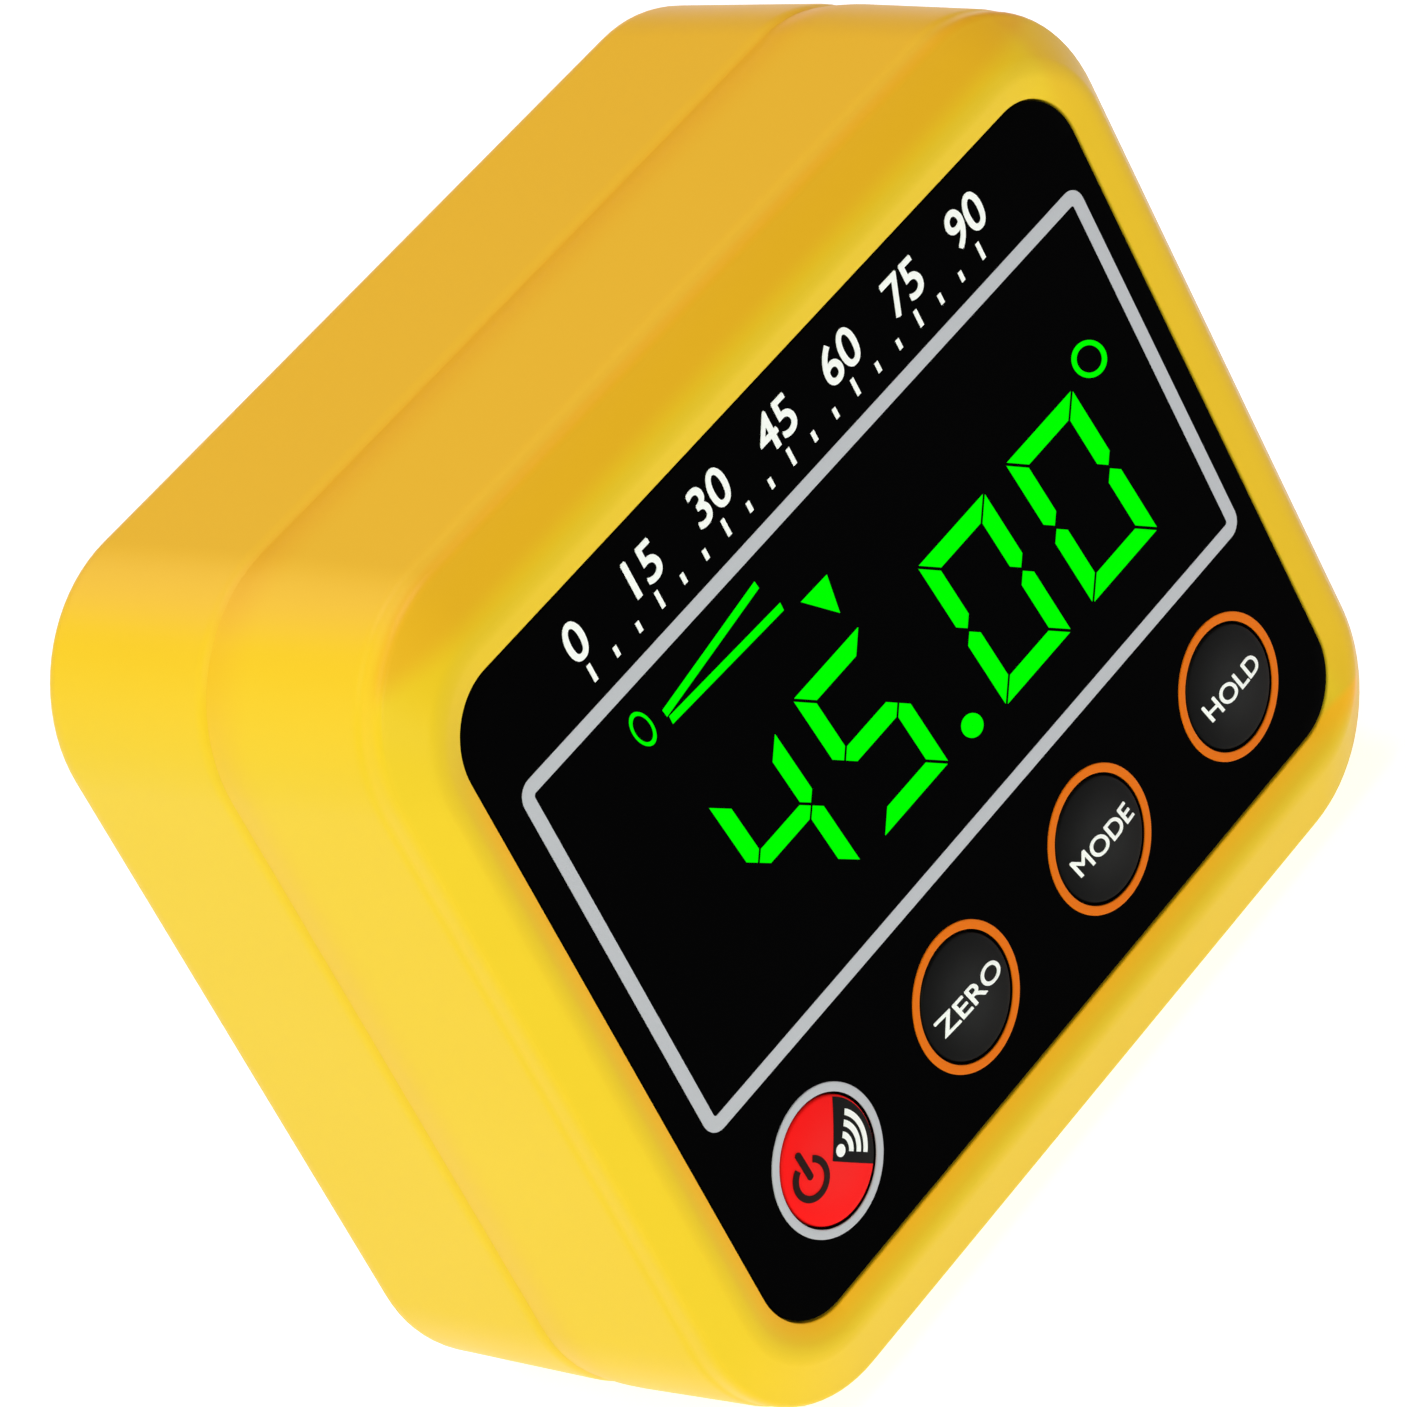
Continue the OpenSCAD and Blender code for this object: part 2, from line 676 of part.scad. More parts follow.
front_cover();
rear_cover();
battery_door();
face_panel();
power_key();
zero_key();
mode_key();
hold_key();
power_plunger();
zero_plunger();
mode_plunger();
hold_plunger();
power_switch();
zero_switch();
mode_switch();
hold_switch();
circuit_board();
tilt_sensor();
controller_chip();
backlight_leds();
display_glass();
display_gasket();
light_guide();
contact_strip_upper();
contact_strip_lower();
cell_upper();
cell_lower();
bridge_contact();
bridge_spring();
positive_terminal();
negative_terminal();
negative_spring();
magnet_front_left();
magnet_front_right();
magnet_rear_left();
magnet_rear_right();
housing_screws();
board_screws();
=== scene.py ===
import contextlib
import json
import math

import bmesh
import bpy
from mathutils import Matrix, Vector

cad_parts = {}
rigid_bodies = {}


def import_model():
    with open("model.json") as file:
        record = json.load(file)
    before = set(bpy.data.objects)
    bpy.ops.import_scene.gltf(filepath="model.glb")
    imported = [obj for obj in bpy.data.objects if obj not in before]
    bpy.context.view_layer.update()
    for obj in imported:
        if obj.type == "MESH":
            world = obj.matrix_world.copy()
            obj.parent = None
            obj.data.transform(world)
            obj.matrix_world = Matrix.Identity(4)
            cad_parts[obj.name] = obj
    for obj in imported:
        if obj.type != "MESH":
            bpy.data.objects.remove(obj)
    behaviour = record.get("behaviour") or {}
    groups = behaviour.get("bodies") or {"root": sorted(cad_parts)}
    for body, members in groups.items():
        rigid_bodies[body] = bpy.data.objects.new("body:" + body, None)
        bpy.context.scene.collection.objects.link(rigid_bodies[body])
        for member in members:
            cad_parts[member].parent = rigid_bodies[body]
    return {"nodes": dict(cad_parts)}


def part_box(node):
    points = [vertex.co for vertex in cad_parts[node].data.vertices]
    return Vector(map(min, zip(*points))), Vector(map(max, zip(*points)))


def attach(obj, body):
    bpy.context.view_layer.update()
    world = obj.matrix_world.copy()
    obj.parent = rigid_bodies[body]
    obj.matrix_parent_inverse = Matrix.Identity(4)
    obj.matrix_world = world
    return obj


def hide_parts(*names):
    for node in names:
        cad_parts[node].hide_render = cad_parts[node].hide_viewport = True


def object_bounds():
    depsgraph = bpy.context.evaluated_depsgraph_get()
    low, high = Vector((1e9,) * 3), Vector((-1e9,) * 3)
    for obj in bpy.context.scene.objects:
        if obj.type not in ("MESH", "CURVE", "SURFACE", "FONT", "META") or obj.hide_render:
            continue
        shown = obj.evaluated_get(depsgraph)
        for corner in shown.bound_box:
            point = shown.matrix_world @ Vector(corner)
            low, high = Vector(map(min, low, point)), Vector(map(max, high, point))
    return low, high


bl_info = {
    "name": "Digital angle gauge",
    "version": (1, 0, 0),
    "blender": (4, 5, 0),
    "location": "View3D > Sidebar > Angle gauge",
    "description": "Builds the pieces and finishes of a digital angle gauge around its packed solids",
    "category": "Object",
}

for start_up in list(bpy.data.objects):
    bpy.data.objects.remove(start_up)
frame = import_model()
CAD_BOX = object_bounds()
NODES = frame["nodes"]

MM = 0.001
# A hair's breadth, which keeps faces out of one plane
HAIR = 0.00001
# Distance between the wires of a skin while they are bridged
APART = 0.01
# Play between pieces that fit into each other
SLIP = 0.1 * MM
# Inner radius of a flat ring that stands for a disc
PINHOLE = 0.02 * MM
UPRIGHT = (math.pi / 2, 0, 0)
KEY_NAMES = ("power", "zero", "mode", "hold")
FRONT_MAGNETS = ("magnet_front_left", "magnet_front_right")
REAR_MAGNETS = ("magnet_rear_left", "magnet_rear_right")


def box_size(node, axis):
    """Length of a node's box along an axis."""
    low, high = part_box(node)
    return high[axis] - low[axis]


def box_middle(node):
    """Middle of a node's box."""
    low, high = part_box(node)
    return tuple((a + b) / 2 for a, b in zip(low, high))


def length(name, description, default):
    """A length that a user may change."""
    return bpy.props.FloatProperty(
        name=name, description=description, default=default, min=0, precision=5, unit="LENGTH"
    )


def colour(name, description, default):
    """A colour that a user may change, with red, green and blue as linear values."""
    return bpy.props.FloatVectorProperty(
        name=name, description=description, default=(*default, 1), size=4, min=0, max=1, subtype="COLOR"
    )


# Sizes and colours


class HousingSizes(bpy.types.PropertyGroup):
    """Sizes of the two covers and the battery door."""

    width: length("Width", "Width of the housing at its seam", box_size("rear_cover", 0))
    height: length("Height", "Height from the base to the top", box_size("rear_cover", 2))
    depth: length("Depth", "Depth from the bezel's crest to the back", CAD_BOX[1][1] - CAD_BOX[0][1])
    corner: length("Corner radius", "Corner radius seen from the front", 0.0088)
    wall: length("Wall", "Thickness of the walls", 0.002)
    skim: length("Base skim", "What the flat base takes off the round of the walls", 0.00032)
    seam: length("Seam", "Height of the seam above the back face", 0.01225)
    valley: length("Valley depth", "Depth of the valley at the seam", 0.00016)
    valley_front: length("Front valley", "Run of the valley's front slope", 0.0016)
    valley_rear: length("Rear valley", "Run of the valley's rear slope", 0.0005)
    tongue: length("Tongue height", "Height of the tongue at the seam", 0.0015)
    band_depth: length("Band depth", "Depth of the band behind the crest", 0.0032)
    wall_draft: length("Wall draft", "How far the front wall leans in up to the band", 0.00027)
    band_step: length("Band step", "Set-back of the band from the wall", 0.00012)
    shoulder: length("Shoulder depth", "Depth of the shoulder behind the crest", 0.0017)
    rim: length("Rim width", "Width of the sloping rim round the panel", 0.00205)
    rim_drop: length("Rim drop", "Fall of the rim from the crest to the panel", 0.00035)
    pocket: length("Pocket depth", "Depth of the panel's pocket behind the crest", 0.0016)
    front_wall: length("Front wall", "Thickness of the wall that carries the panel", 0.0016)
    back_edge: length("Back edge", "Radius of the edge round the back", 0.0012)
    boss: length("Boss radius", "Radius of the corner bosses", 0.0026)
    cup: length("Cup wall", "Wall of the cups round the magnets", 0.0008)
    ledge: length("Door ledge", "Ledge that the battery door lies on", 0.0018)
    bay_wall: length("Bay wall", "Wall of the battery bay", 0.0012)


class FaceSizes(bpy.types.PropertyGroup):
    """Sizes of the face panel, its print and its reading."""

    panel_corner: length("Panel corner", "Corner radius of the panel", 0.0038)
    panel_edge: length("Panel edge", "Round of the panel's front edge", 0.00012)
    ink: length("Ink", "Thickness of print and lit shapes", 0.00003)
    frame_width: length("Frame width", "Width of the printed frame", 0.0486)
    frame_height: length("Frame height", "Height of the printed frame", 0.0226)
    frame_line: length("Frame line", "Line of the printed frame", 0.00082)
    frame_corner: length("Frame corner", "Corner radius of the printed frame", 0.001)
    stroke: length("Bar width", "Width of a lit bar of a figure", 0.00108)
    gap: length("Bar gap", "Gap between two lit bars", 0.00017)
    sign_line: length("Sign line", "Line of the small lit signs", 0.00034)
    figure_height: length("Number height", "Height of the scale's numbers", 0.0022)
    tick: length("Tick width", "Width of a line of the scale", 0.00028)


class KeySizes(bpy.types.PropertyGroup):
    """Sizes of the keys and of what is printed on them."""

    radius: length("Key radius", "Radius of a key", 0.00336)
    crown: length("Key crown", "Rise of a key's crown over its edge", 0.0003)
    edge: length("Key edge", "Round of a key's edge", 0.00018)
    collar: length("Collar height", "Thickness of a key's collar", 0.0008)
    gap: length("Key gap", "Gap round a key in its hole", 0.00009)
    ring: length("Ring radius", "Outer radius of the ring round a key", 0.0040)
    ring_line: length("Ring line", "Width of the ring round a key", 0.0005)
    ring_rise: length("Ring rise", "Height of the ring above the panel", 0.00008)
    word_height: length("Word height", "Height of a word's letters", 0.00122)
    zero_word: length("Zero word", "Length of the word on the zero key", 0.0054)
    mode_word: length("Mode word", "Length of the word on the mode key", 0.0051)
    hold_word: length("Hold word", "Length of the word on the hold key", 0.0048)
    word_lean: bpy.props.FloatProperty(
        name="Word lean", description="Sideways lean of a word's letters for each unit of height",
        default=-0.25,
    )
    sign_line: length("Sign line", "Line of the signs on the power key", 0.00033)


class FinishColours(bpy.types.PropertyGroup):
    """Colours of the moulded, printed and lit surfaces."""

    yellow: colour("Housing yellow", "Moulded plastic of the covers and the door", (0.84, 0.565, 0.019))
    deep_yellow: colour("Deep yellow", "Slightly deeper shade in the same plastic", (0.82, 0.535, 0.016))
    # Painted sheen and shade: a more muted yellow for the top, for how the light falls on it
    top_yellow: colour("Top yellow", "Slightly muted shade of the top", (0.825, 0.525, 0.036))
    # Painted shade: a deeper orange for the shade in the seam's valley, on the top slope behind the crest and
    # on the right rim
    flow_orange: colour(
        "Painted orange", "Deeper shade at the seam, on the top slope and on the right rim", (0.80, 0.42, 0.016)
    )
    # Painted shade: a deep orange for the rim's dished slope next to the panel, which turns away from the
    # light
    lip_orange: colour("Lip orange", "Deep shade of the rim next to the panel", (0.95, 0.47, 0.008))
    black: colour("Panel black", "Gloss black of the face panel", (0.0007, 0.0007, 0.0008))
    key_black: colour("Key black", "Black of the three plain keys", (0.004, 0.004, 0.0042))
    red: colour("Key red", "Red of the power key", (1.0, 0.008, 0.008))
    # Painted highlight: a paler red for the middle of the power key's crown
    pale_red: colour("Pale red", "Paler red in the middle of the power key", (0.95, 0.02, 0.019))
    orange: colour("Ring orange", "Orange of the rings", (0.84, 0.17, 0.003))
    grey: colour("Frame grey", "Grey of the printed frame", (0.535, 0.53, 0.59))
    white: colour("Print white", "White of words and numbers", (1.0, 0.99, 1.0))
    brown: colour("Sign brown", "Dark brown of the power sign", (0.02, 0.006, 0.005))
    green: colour("Lit green", "Light of the reading", (0.0, 1.0, 0.0))
    floor: colour("Floor", "Pale floor", (0.5, 0.5, 0.5))


class StageSettings(bpy.types.PropertyGroup):
    """Camera and lights."""

    camera_place: bpy.props.FloatVectorProperty(
        name="Camera place", description="Where the camera stands", default=(-0.18486, -0.2528, 0.20266),
        subtype="TRANSLATION", unit="LENGTH",
    )
    camera_turn: bpy.props.FloatVectorProperty(
        name="Camera turn", description="How the camera is turned", subtype="EULER",
        default=tuple(math.radians(a) for a in (57.4133, 24.5361, -50.6287)),
    )
    lens: bpy.props.FloatProperty(
        name="Lens", description="Focal length in millimetres", default=177.39, min=10, unit="CAMERA"
    )
    sky: bpy.props.FloatProperty(
        name="Room light", description="Strength of the even light from all round", default=0.02, min=0
    )
    floor_edge: length("Floor edge", "How far the floor turns up at its far edge", 0.4)
    glow: bpy.props.FloatProperty(
        name="Floor glow", description="Strength of the light from the floor itself", default=0.82, min=0
    )


# Selecting and editing


def deselect():
    """Leaves edit mode and selects nothing."""
    active = bpy.context.view_layer.objects.active
    if active is not None and active.mode != "OBJECT":
        bpy.ops.object.mode_set(mode="OBJECT")
    bpy.ops.object.select_all(action="DESELECT")


def only(obj):
    """Makes obj the one selected and active object."""
    deselect()
    obj.select_set(True)
    bpy.context.view_layer.objects.active = obj


@contextlib.contextmanager
def editing(obj):
    """Edit mode on obj alone, with everything selected."""
    only(obj)
    bpy.ops.object.mode_set(mode="EDIT")
    bpy.ops.mesh.select_mode(type="VERT")
    bpy.ops.mesh.select_all(action="SELECT")
    yield obj
    bpy.ops.object.mode_set(mode="OBJECT")


def pick_faces(obj, test):
    """In edit mode, selects the faces whose middle passes the test."""
    bpy.ops.mesh.select_mode(type="FACE")
    bpy.ops.mesh.select_all(action="DESELECT")
    mesh = bmesh.from_edit_mesh(obj.data)
    for face in mesh.faces:
        if test(face.calc_center_median()):
            face.select_set(True)
    bmesh.update_edit_mesh(obj.data)


def pick_rows(obj, count, rows):
    """In edit mode, selects whole loops of a skin by their row."""
    bpy.ops.mesh.select_all(action="DESELECT")
    mesh = bmesh.from_edit_mesh(obj.data)
    mesh.verts.ensure_lookup_table()
    for row in rows:
        for point in mesh.verts[count * row:count * (row + 1)]:
            point.select_set(True)
    mesh.select_flush(True)
    bmesh.update_edit_mesh(obj.data)


def settle(obj):
    """Puts an object's place, turn and scale into its mesh."""
    only(obj)
    bpy.ops.object.transform_apply(location=True, rotation=True, scale=True)
    return obj


def named(obj, name):
    """Names an object and its mesh."""
    obj.name = obj.data.name = name
    return obj


def copy_of(obj, name):
    """A copy of obj with a mesh of its own."""
    only(obj)
    bpy.ops.object.duplicate(linked=False)
    return named(bpy.context.object, name)


def joined(objs, name):
    """Several objects as one."""
    deselect()
    for obj in objs:
        obj.select_set(True)
    bpy.context.view_layer.objects.active = objs[0]
    bpy.ops.object.join()
    return named(bpy.context.object, name)


def modified(obj, kind, **settings):
    """Adds a modifier, sets it and applies it."""
    only(obj)
    bpy.ops.object.modifier_add(type=kind)
    modifier = obj.modifiers[-1]
    for key, value in settings.items():
        setattr(modifier, key, value)
    bpy.ops.object.modifier_apply(modifier=modifier.name)
    return obj


def moved(obj, shift):
    """Moves a whole mesh."""
    with editing(obj):
        bpy.ops.transform.translate(value=shift)
    return obj


def repeated(first, spots, names=()):
    """What stands at the first spot, with a copy of it at each other spot."""
    copies = [first]
    for i, spot in enumerate(spots[1:], 1):
        copy = copy_of(first, names[i] if names else first.name)
        copies.append(moved(copy, [b - a for a, b in zip(spots[0], spot)]))
    return copies


def carved(obj, *tools, operation="DIFFERENCE"):
    """Cuts tools out of obj, or fuses them on, and removes them."""
    for tool in tools:
        modified(obj, "BOOLEAN", operation=operation, solver="EXACT", object=tool)
        if not obj.data.polygons:
            raise RuntimeError(f"{obj.name} was lost in a cut")
        bpy.data.objects.remove(tool)
    return obj


def fused(obj, *tools):
    """Fuses tools onto obj and removes them."""
    return carved(obj, *tools, operation="UNION")


def smoothed(obj, angle=30):
    """Smooth shading with crisp edges above the angle, and flat faces kept flat."""
    only(obj)
    bpy.ops.object.shade_smooth_by_angle(angle=math.radians(angle))
    return modified(obj, "WEIGHTED_NORMAL", keep_sharp=True)


# Skins over loops


def outline_wire(station, steps):
    """An upright rounded rectangle as a wire, from (width, height, radius, x, z, y)."""
    width, height, radius, x, z, y = station
    deselect()
    bpy.ops.mesh.primitive_plane_add(size=1, location=(x, y, z), rotation=UPRIGHT)
    wire = bpy.context.object
    with editing(wire):
        bpy.ops.transform.resize(value=(width, 1, height))
        bpy.ops.mesh.bevel(offset=radius, segments=steps, affect="VERTICES")
        bpy.ops.mesh.select_all(action="SELECT")
        bpy.ops.mesh.delete(type="ONLY_FACE")
    return wire


def ring_wire(ring, centre, axis, steps):
    """A circle round an axis as a wire, from (radius, place along the axis)."""
    radius, along = ring
    place = list(centre)
    place[axis] += along
    turn = [(0, math.pi / 2, 0), UPRIGHT, (0, 0, 0)][axis]
    deselect()
    bpy.ops.mesh.primitive_circle_add(vertices=steps, radius=radius, location=place, rotation=turn)
    return bpy.context.object


def skin(name, wires, axis, places, closed=False):
    """Bridges wires of equal count into one skin. An open one gets a cap at each end.
    The wires stand well apart while they are bridged, so no bridge twists, and then go to their places."""
    count, rows = len(wires[0].data.vertices), len(wires)
    obj = settle(joined(wires, name))
    with editing(obj):
        for row in range(rows if closed else rows - 1):
            pick_rows(obj, count, (row, (row + 1) % rows))
            bpy.ops.mesh.bridge_edge_loops()
        if not closed:
            for row in (0, rows - 1):
                pick_rows(obj, count, (row,))
                bpy.ops.mesh.edge_face_add()
        for row, place in enumerate(places):
            pick_rows(obj, count, (row,))
            shift = [0, 0, 0]
            shift[axis] = place - row * APART
            bpy.ops.transform.translate(value=shift)
        bpy.ops.mesh.select_all(action="SELECT")
        bpy.ops.mesh.normals_make_consistent(inside=False)
    return obj


def lofted(name, stations, steps, closed=False):
    """A skin over upright rounded rectangles, each (width, height, radius, x, z, y)."""
    wires = [outline_wire((*s[:5], row * APART), steps) for row, s in enumerate(stations)]
    return skin(name, wires, 1, [s[5] for s in stations], closed)


def turned(name, rings, centre, axis, steps, closed=False):
    """A skin over circles round an axis, each (radius, place along the axis)."""
    wires = [ring_wire((r, row * APART), centre, axis, steps) for row, (r, _) in enumerate(rings)]
    return skin(name, wires, axis, [along for _, along in rings], closed)


def softened(corners, steps=5):
    """Rounds a section. Each corner is a tuple of sizes and how far its round reaches along both sides."""
    def towards(a, b, reach):
        span = max(abs(p - q) for p, q in zip(a, b))
        share = min(0.5, reach / span)
        return tuple(p + (q - p) * share for p, q in zip(a, b))

    section = []
    for i, (corner, reach) in enumerate(corners):
        if not reach:
            section.append(corner)
            continue
        start = towards(corner, corners[i - 1][0], reach)
        end = towards(corner, corners[i + 1][0], reach)
        for k in range(steps + 1):
            t = k / steps
            section.append(tuple(
                (1 - t) ** 2 * a + 2 * t * (1 - t) * b + t * t * c for a, b, c in zip(start, corner, end)
            ))
    return section


def block(name, size, centre):
    """A plain box as a tool for a cut."""
    deselect()
    bpy.ops.mesh.primitive_cube_add(size=1, location=centre, scale=size)
    return settle(named(bpy.context.object, name))


def flat_base(obj):
    """Mills off what lies below the base."""
    with editing(obj):
        bpy.ops.mesh.bisect(
            plane_co=(0, 0, 0), plane_no=(0, 0, 1), use_fill=True, clear_inner=True, threshold=HAIR / 10
        )
    return obj


# Finishes


class Outlet:
    """An output of a node. Sums, products and tests of outlets and numbers add Math nodes."""

    def __init__(self, finish, socket):
        self.finish, self.socket = finish, socket

    def __add__(self, other):
        return self.finish.math("ADD", self, other)

    def __radd__(self, other):
        return self.finish.math("ADD", other, self)

    def __sub__(self, other):
        return self.finish.math("SUBTRACT", self, other)

    def __rsub__(self, other):
        return self.finish.math("SUBTRACT", other, self)

    def __mul__(self, other):
        return self.finish.math("MULTIPLY", self, other)

    def __rmul__(self, other):
        return self.finish.math("MULTIPLY", other, self)

    def __gt__(self, other):
        return self.finish.math("GREATER_THAN", self, other)


class Finish:
    """A material with its nodes. Settings are set before sockets."""

    def __init__(self, name, sockets):
        self.material = bpy.data.materials.new(name)
        self.material.use_nodes = True
        self.tree = self.material.node_tree
        self.shader = self.tree.nodes["Principled BSDF"]
        self.wire(self.shader, sockets)

    def wire(self, node, sockets):
        """Sets a node's sockets, or links them to outlets."""
        for key, value in sockets.items():
            if isinstance(value, Outlet):
                self.tree.links.new(value.socket, node.inputs[key])
            else:
                node.inputs[key].default_value = value

    def node(self, kind, settings=None, sockets=None, out=0):
        """Adds a node and returns one of its outlets."""
        node = self.tree.nodes.new(kind)
        for key, value in (settings or {}).items():
            setattr(node, key, value)
        self.wire(node, sockets or {})
        return Outlet(self, node.outputs[out])

    def math(self, operation, *values):
        """Adds a Math node on outlets and numbers."""
        return self.node("ShaderNodeMath", {"operation": operation}, dict(enumerate(values)))

    def place(self):
        """Place on the piece, in metres."""
        return self.node("ShaderNodeTexCoord", out="Object")

    def along(self, axis):
        """One coordinate of the place."""
        return self.node("ShaderNodeSeparateXYZ", sockets={0: self.place()}, out=axis)

    def noise(self, size, detail, rough=0.5, stretch=(1, 1, 1)):
        """Cloudy pattern with patches of the given size."""
        place = self.node("ShaderNodeMapping", sockets={"Vector": self.place(), "Scale": stretch})
        return self.node(
            "ShaderNodeTexNoise",
            sockets={"Vector": place, "Scale": 1 / size, "Detail": detail, "Roughness": rough},
        )

    def rise(self, value, start, end):
        """Soft step of a value, from 0 at the start to 1 at the end."""
        return self.node(
            "ShaderNodeMapRange", {"interpolation_type": "SMOOTHSTEP"},
            {"Value": value, "From Min": start, "From Max": end},
        )

    def blend(self, share, a, b):
        """Colour between a and b."""
        return self.node("ShaderNodeMix", {"data_type": "RGBA"}, {0: share, 6: a, 7: b}, out=2)

    def relief(self, height, depth, strength):
        """Bump of the given depth into the shader's normal."""
        sockets = {"Height": height, "Distance": depth, "Strength": strength}
        self.wire(self.shader, {"Normal": self.node("ShaderNodeBump", sockets=sockets)})

    def wear(self, **sockets):
        """Feeds the shader's sockets, named with _ for spaces."""
        self.wire(self.shader, {key.replace("_", " "): value for key, value in sockets.items()})
        return self


def colours():
    """The colours that a user may change."""
    return bpy.context.scene.gauge_colours


def shade(base, share):
    """A colour made lighter or darker."""
    return tuple(min(1, c * share) for c in base[:3]) + (1,)


def moulded_yellow(name):
    """Moulded plastic with painted shade: deeper orange along the seam, on the top slope, on the right rim
    and next to the panel at the left and below, and painted sheen and shade in a muted yellow on the top."""
    c = colours()
    f = Finish(name, {"Specular IOR Level": 0.12, "IOR": 1.5})
    flow = f.noise(14 * MM, 3, 0.55, (1, 0.5, 1))
    grain = f.noise(0.16 * MM, 2, 0.6)
    depth, height = f.along(1), f.along(2)
    # Masks of painted shade: along the seam's valley, in front behind the crest, and on the top slope
    seam = f.rise(depth, 1.2 * MM, 0.6 * MM) * f.rise(depth, -2.8 * MM, 0.6 * MM)
    front = f.rise(depth, -10.4 * MM, -11.4 * MM)
    top = f.rise(height, 50.7 * MM, 52 * MM)
    slope = f.rise(height, 48.7 * MM, 50.2 * MM)
    # Painted sheen and shade: towards the top the plain yellow turns to the top's muted yellow
    plain = f.blend(top, f.blend(flow, c.yellow, c.deep_yellow), c.top_yellow)
    across = f.along(0)
    # Painted shade on the right rim
    right = f.rise(across, 25 * MM, 26.2 * MM)
    # How much painted shade each place gets, most on the top slope
    share = seam * 0.3 + seam * top * 0.25 + front * (slope * 0.85 + right * 0.42)
    # Painted shade on the rim next to the panel, at the left and below, in front
    corner = bpy.context.scene.gauge_face.panel_corner
    side = corner - box_size("face_panel", 0) / 2 - across
    fall = corner - box_size("face_panel", 2) / 2 + middle() - height
    side, fall = [f.math("MAXIMUM", run, 0.0) for run in (side, fall)]
    out = f.math("SQRT", side * side + fall * fall) - corner
    painted_lip_mask = f.rise(out, 1.7 * MM, 0.1 * MM) * f.rise(out, -0.6 * MM, 0.0)
    painted_lip_mask = painted_lip_mask * f.rise(depth, -12.1 * MM, -12.5 * MM) * f.rise(height, 45.5 * MM, 40 * MM)
    # Painted shade: the plain yellow turns to the deeper orange by these masks, and to the deep orange next
    # to the panel
    f.wear(Base_Color=f.blend(painted_lip_mask, f.blend(share, plain, c.flow_orange), c.lip_orange))
    f.wear(Roughness=0.3 + 0.08 * flow + 0.05 * grain)
    f.relief(grain, 0.004 * MM, 0.35)
    return f


def gloss_black(name):
    """Gloss sheet with a faint smear."""
    c = colours()
    f = Finish(name, {"Specular IOR Level": 0.004, "IOR": 1.5})
    smear = f.noise(9 * MM, 3, 0.6)
    dust = f.noise(0.3 * MM, 1)
    f.wear(Base_Color=f.blend(smear, c.black, shade(c.black, 1.5)))
    f.wear(Roughness=0.06 + 0.05 * smear)
    f.relief(dust, 0.0006 * MM, 0.2)
    return f


def key_plastic(name, base, highlight_base, share=1):
    """Satin plastic of a key with a painted highlight that makes it paler towards the middle of its crown.
    The colours are given by name.
    """
    base, painted_highlight = getattr(colours(), base), shade(getattr(colours(), highlight_base), share)
    f = Finish(name, {"Specular IOR Level": 0.04, "IOR": 1.5})
    soft = f.noise(2.5 * MM, 2)
    grain = f.noise(0.12 * MM, 2, 0.6)
    left, low = key_centre("power")
    pitch = key_centre("zero")[0] - left
    across = f.math("WRAP", f.along(0) - left, pitch / 2, -pitch / 2)
    up = f.along(2) - low
    out = f.math("SQRT", across * across + up * up)
    # Painted highlight: paler towards the middle of the crown
    crown = f.rise(out, 3.3 * MM, 0.6 * MM)
    f.wear(Base_Color=f.blend(crown * 0.85 + soft * 0.15, base, painted_highlight))
    f.wear(Roughness=0.32 + 0.06 * grain)
    f.relief(grain, 0.002 * MM, 0.3)
    return f


def printed(name, ink, rough=0.45):
    """Screen print: even ink with a faint mesh in it. The ink is given by the name of its colour."""
    base = getattr(colours(), ink)
    f = Finish(name, {"Specular IOR Level": 0.06})
    mesh = f.noise(0.1 * MM, 1)
    cloud = f.noise(4 * MM, 2)
    f.wear(Base_Color=f.blend(cloud, base, shade(base, 0.95)))
    f.wear(Roughness=rough + 0.08 * mesh)
    f.relief(mesh, 0.002 * MM, 0.3)
    return f


def lit_green(name):
    """Even light of the reading."""
    c = colours()
    f = Finish(name, {"Base Color": (0, 0.01, 0, 1), "Specular IOR Level": 0.0, "Emission Strength": 1.0})
    cloud = f.noise(3 * MM, 1)
    f.wear(Emission_Color=f.blend(cloud, c.green, shade(c.green, 0.97)))
    return f


def plated(name, base, rough=0.24, stretch=(1, 1, 1), grain=0.3 * MM):
    """Metal with fine lines or grain."""
    f = Finish(name, {"Metallic": 1.0})
    lines = f.noise(grain, 2, 0.6, stretch)
    cloud = f.noise(4 * MM, 2)
    f.wear(Base_Color=f.blend(cloud, base, shade(base, 0.86)))
    f.wear(Roughness=rough + 0.14 * lines)
    f.relief(lines, 0.002 * MM, 0.4)
    return f


def moulded(name, base, rough, patch=3 * MM, grain=0.15 * MM):
    """Plain moulded or coated stuff with a fine grain."""
    f = Finish(name, {"Specular IOR Level": 0.4})
    cloud = f.noise(patch, 2)
    fine = f.noise(grain, 2, 0.6)
    f.wear(Base_Color=f.blend(cloud, base, shade(base, 0.8)))
    f.wear(Roughness=rough + 0.1 * fine)
    f.relief(fine, 0.006 * MM, 0.4)
    return f


def strip_rubber(name):
    """Rubber in dark and pale layers."""
    f = Finish(name, {"Specular IOR Level": 0.3, "Roughness": 0.6})
    angle_per_metre = 60000.0
    layers = f.math("SINE", f.along(0) * angle_per_metre) > 0.0
    f.wear(Base_Color=f.blend(layers, (0.02, 0.02, 0.02, 1), (0.35, 0.32, 0.28, 1)))
    return f


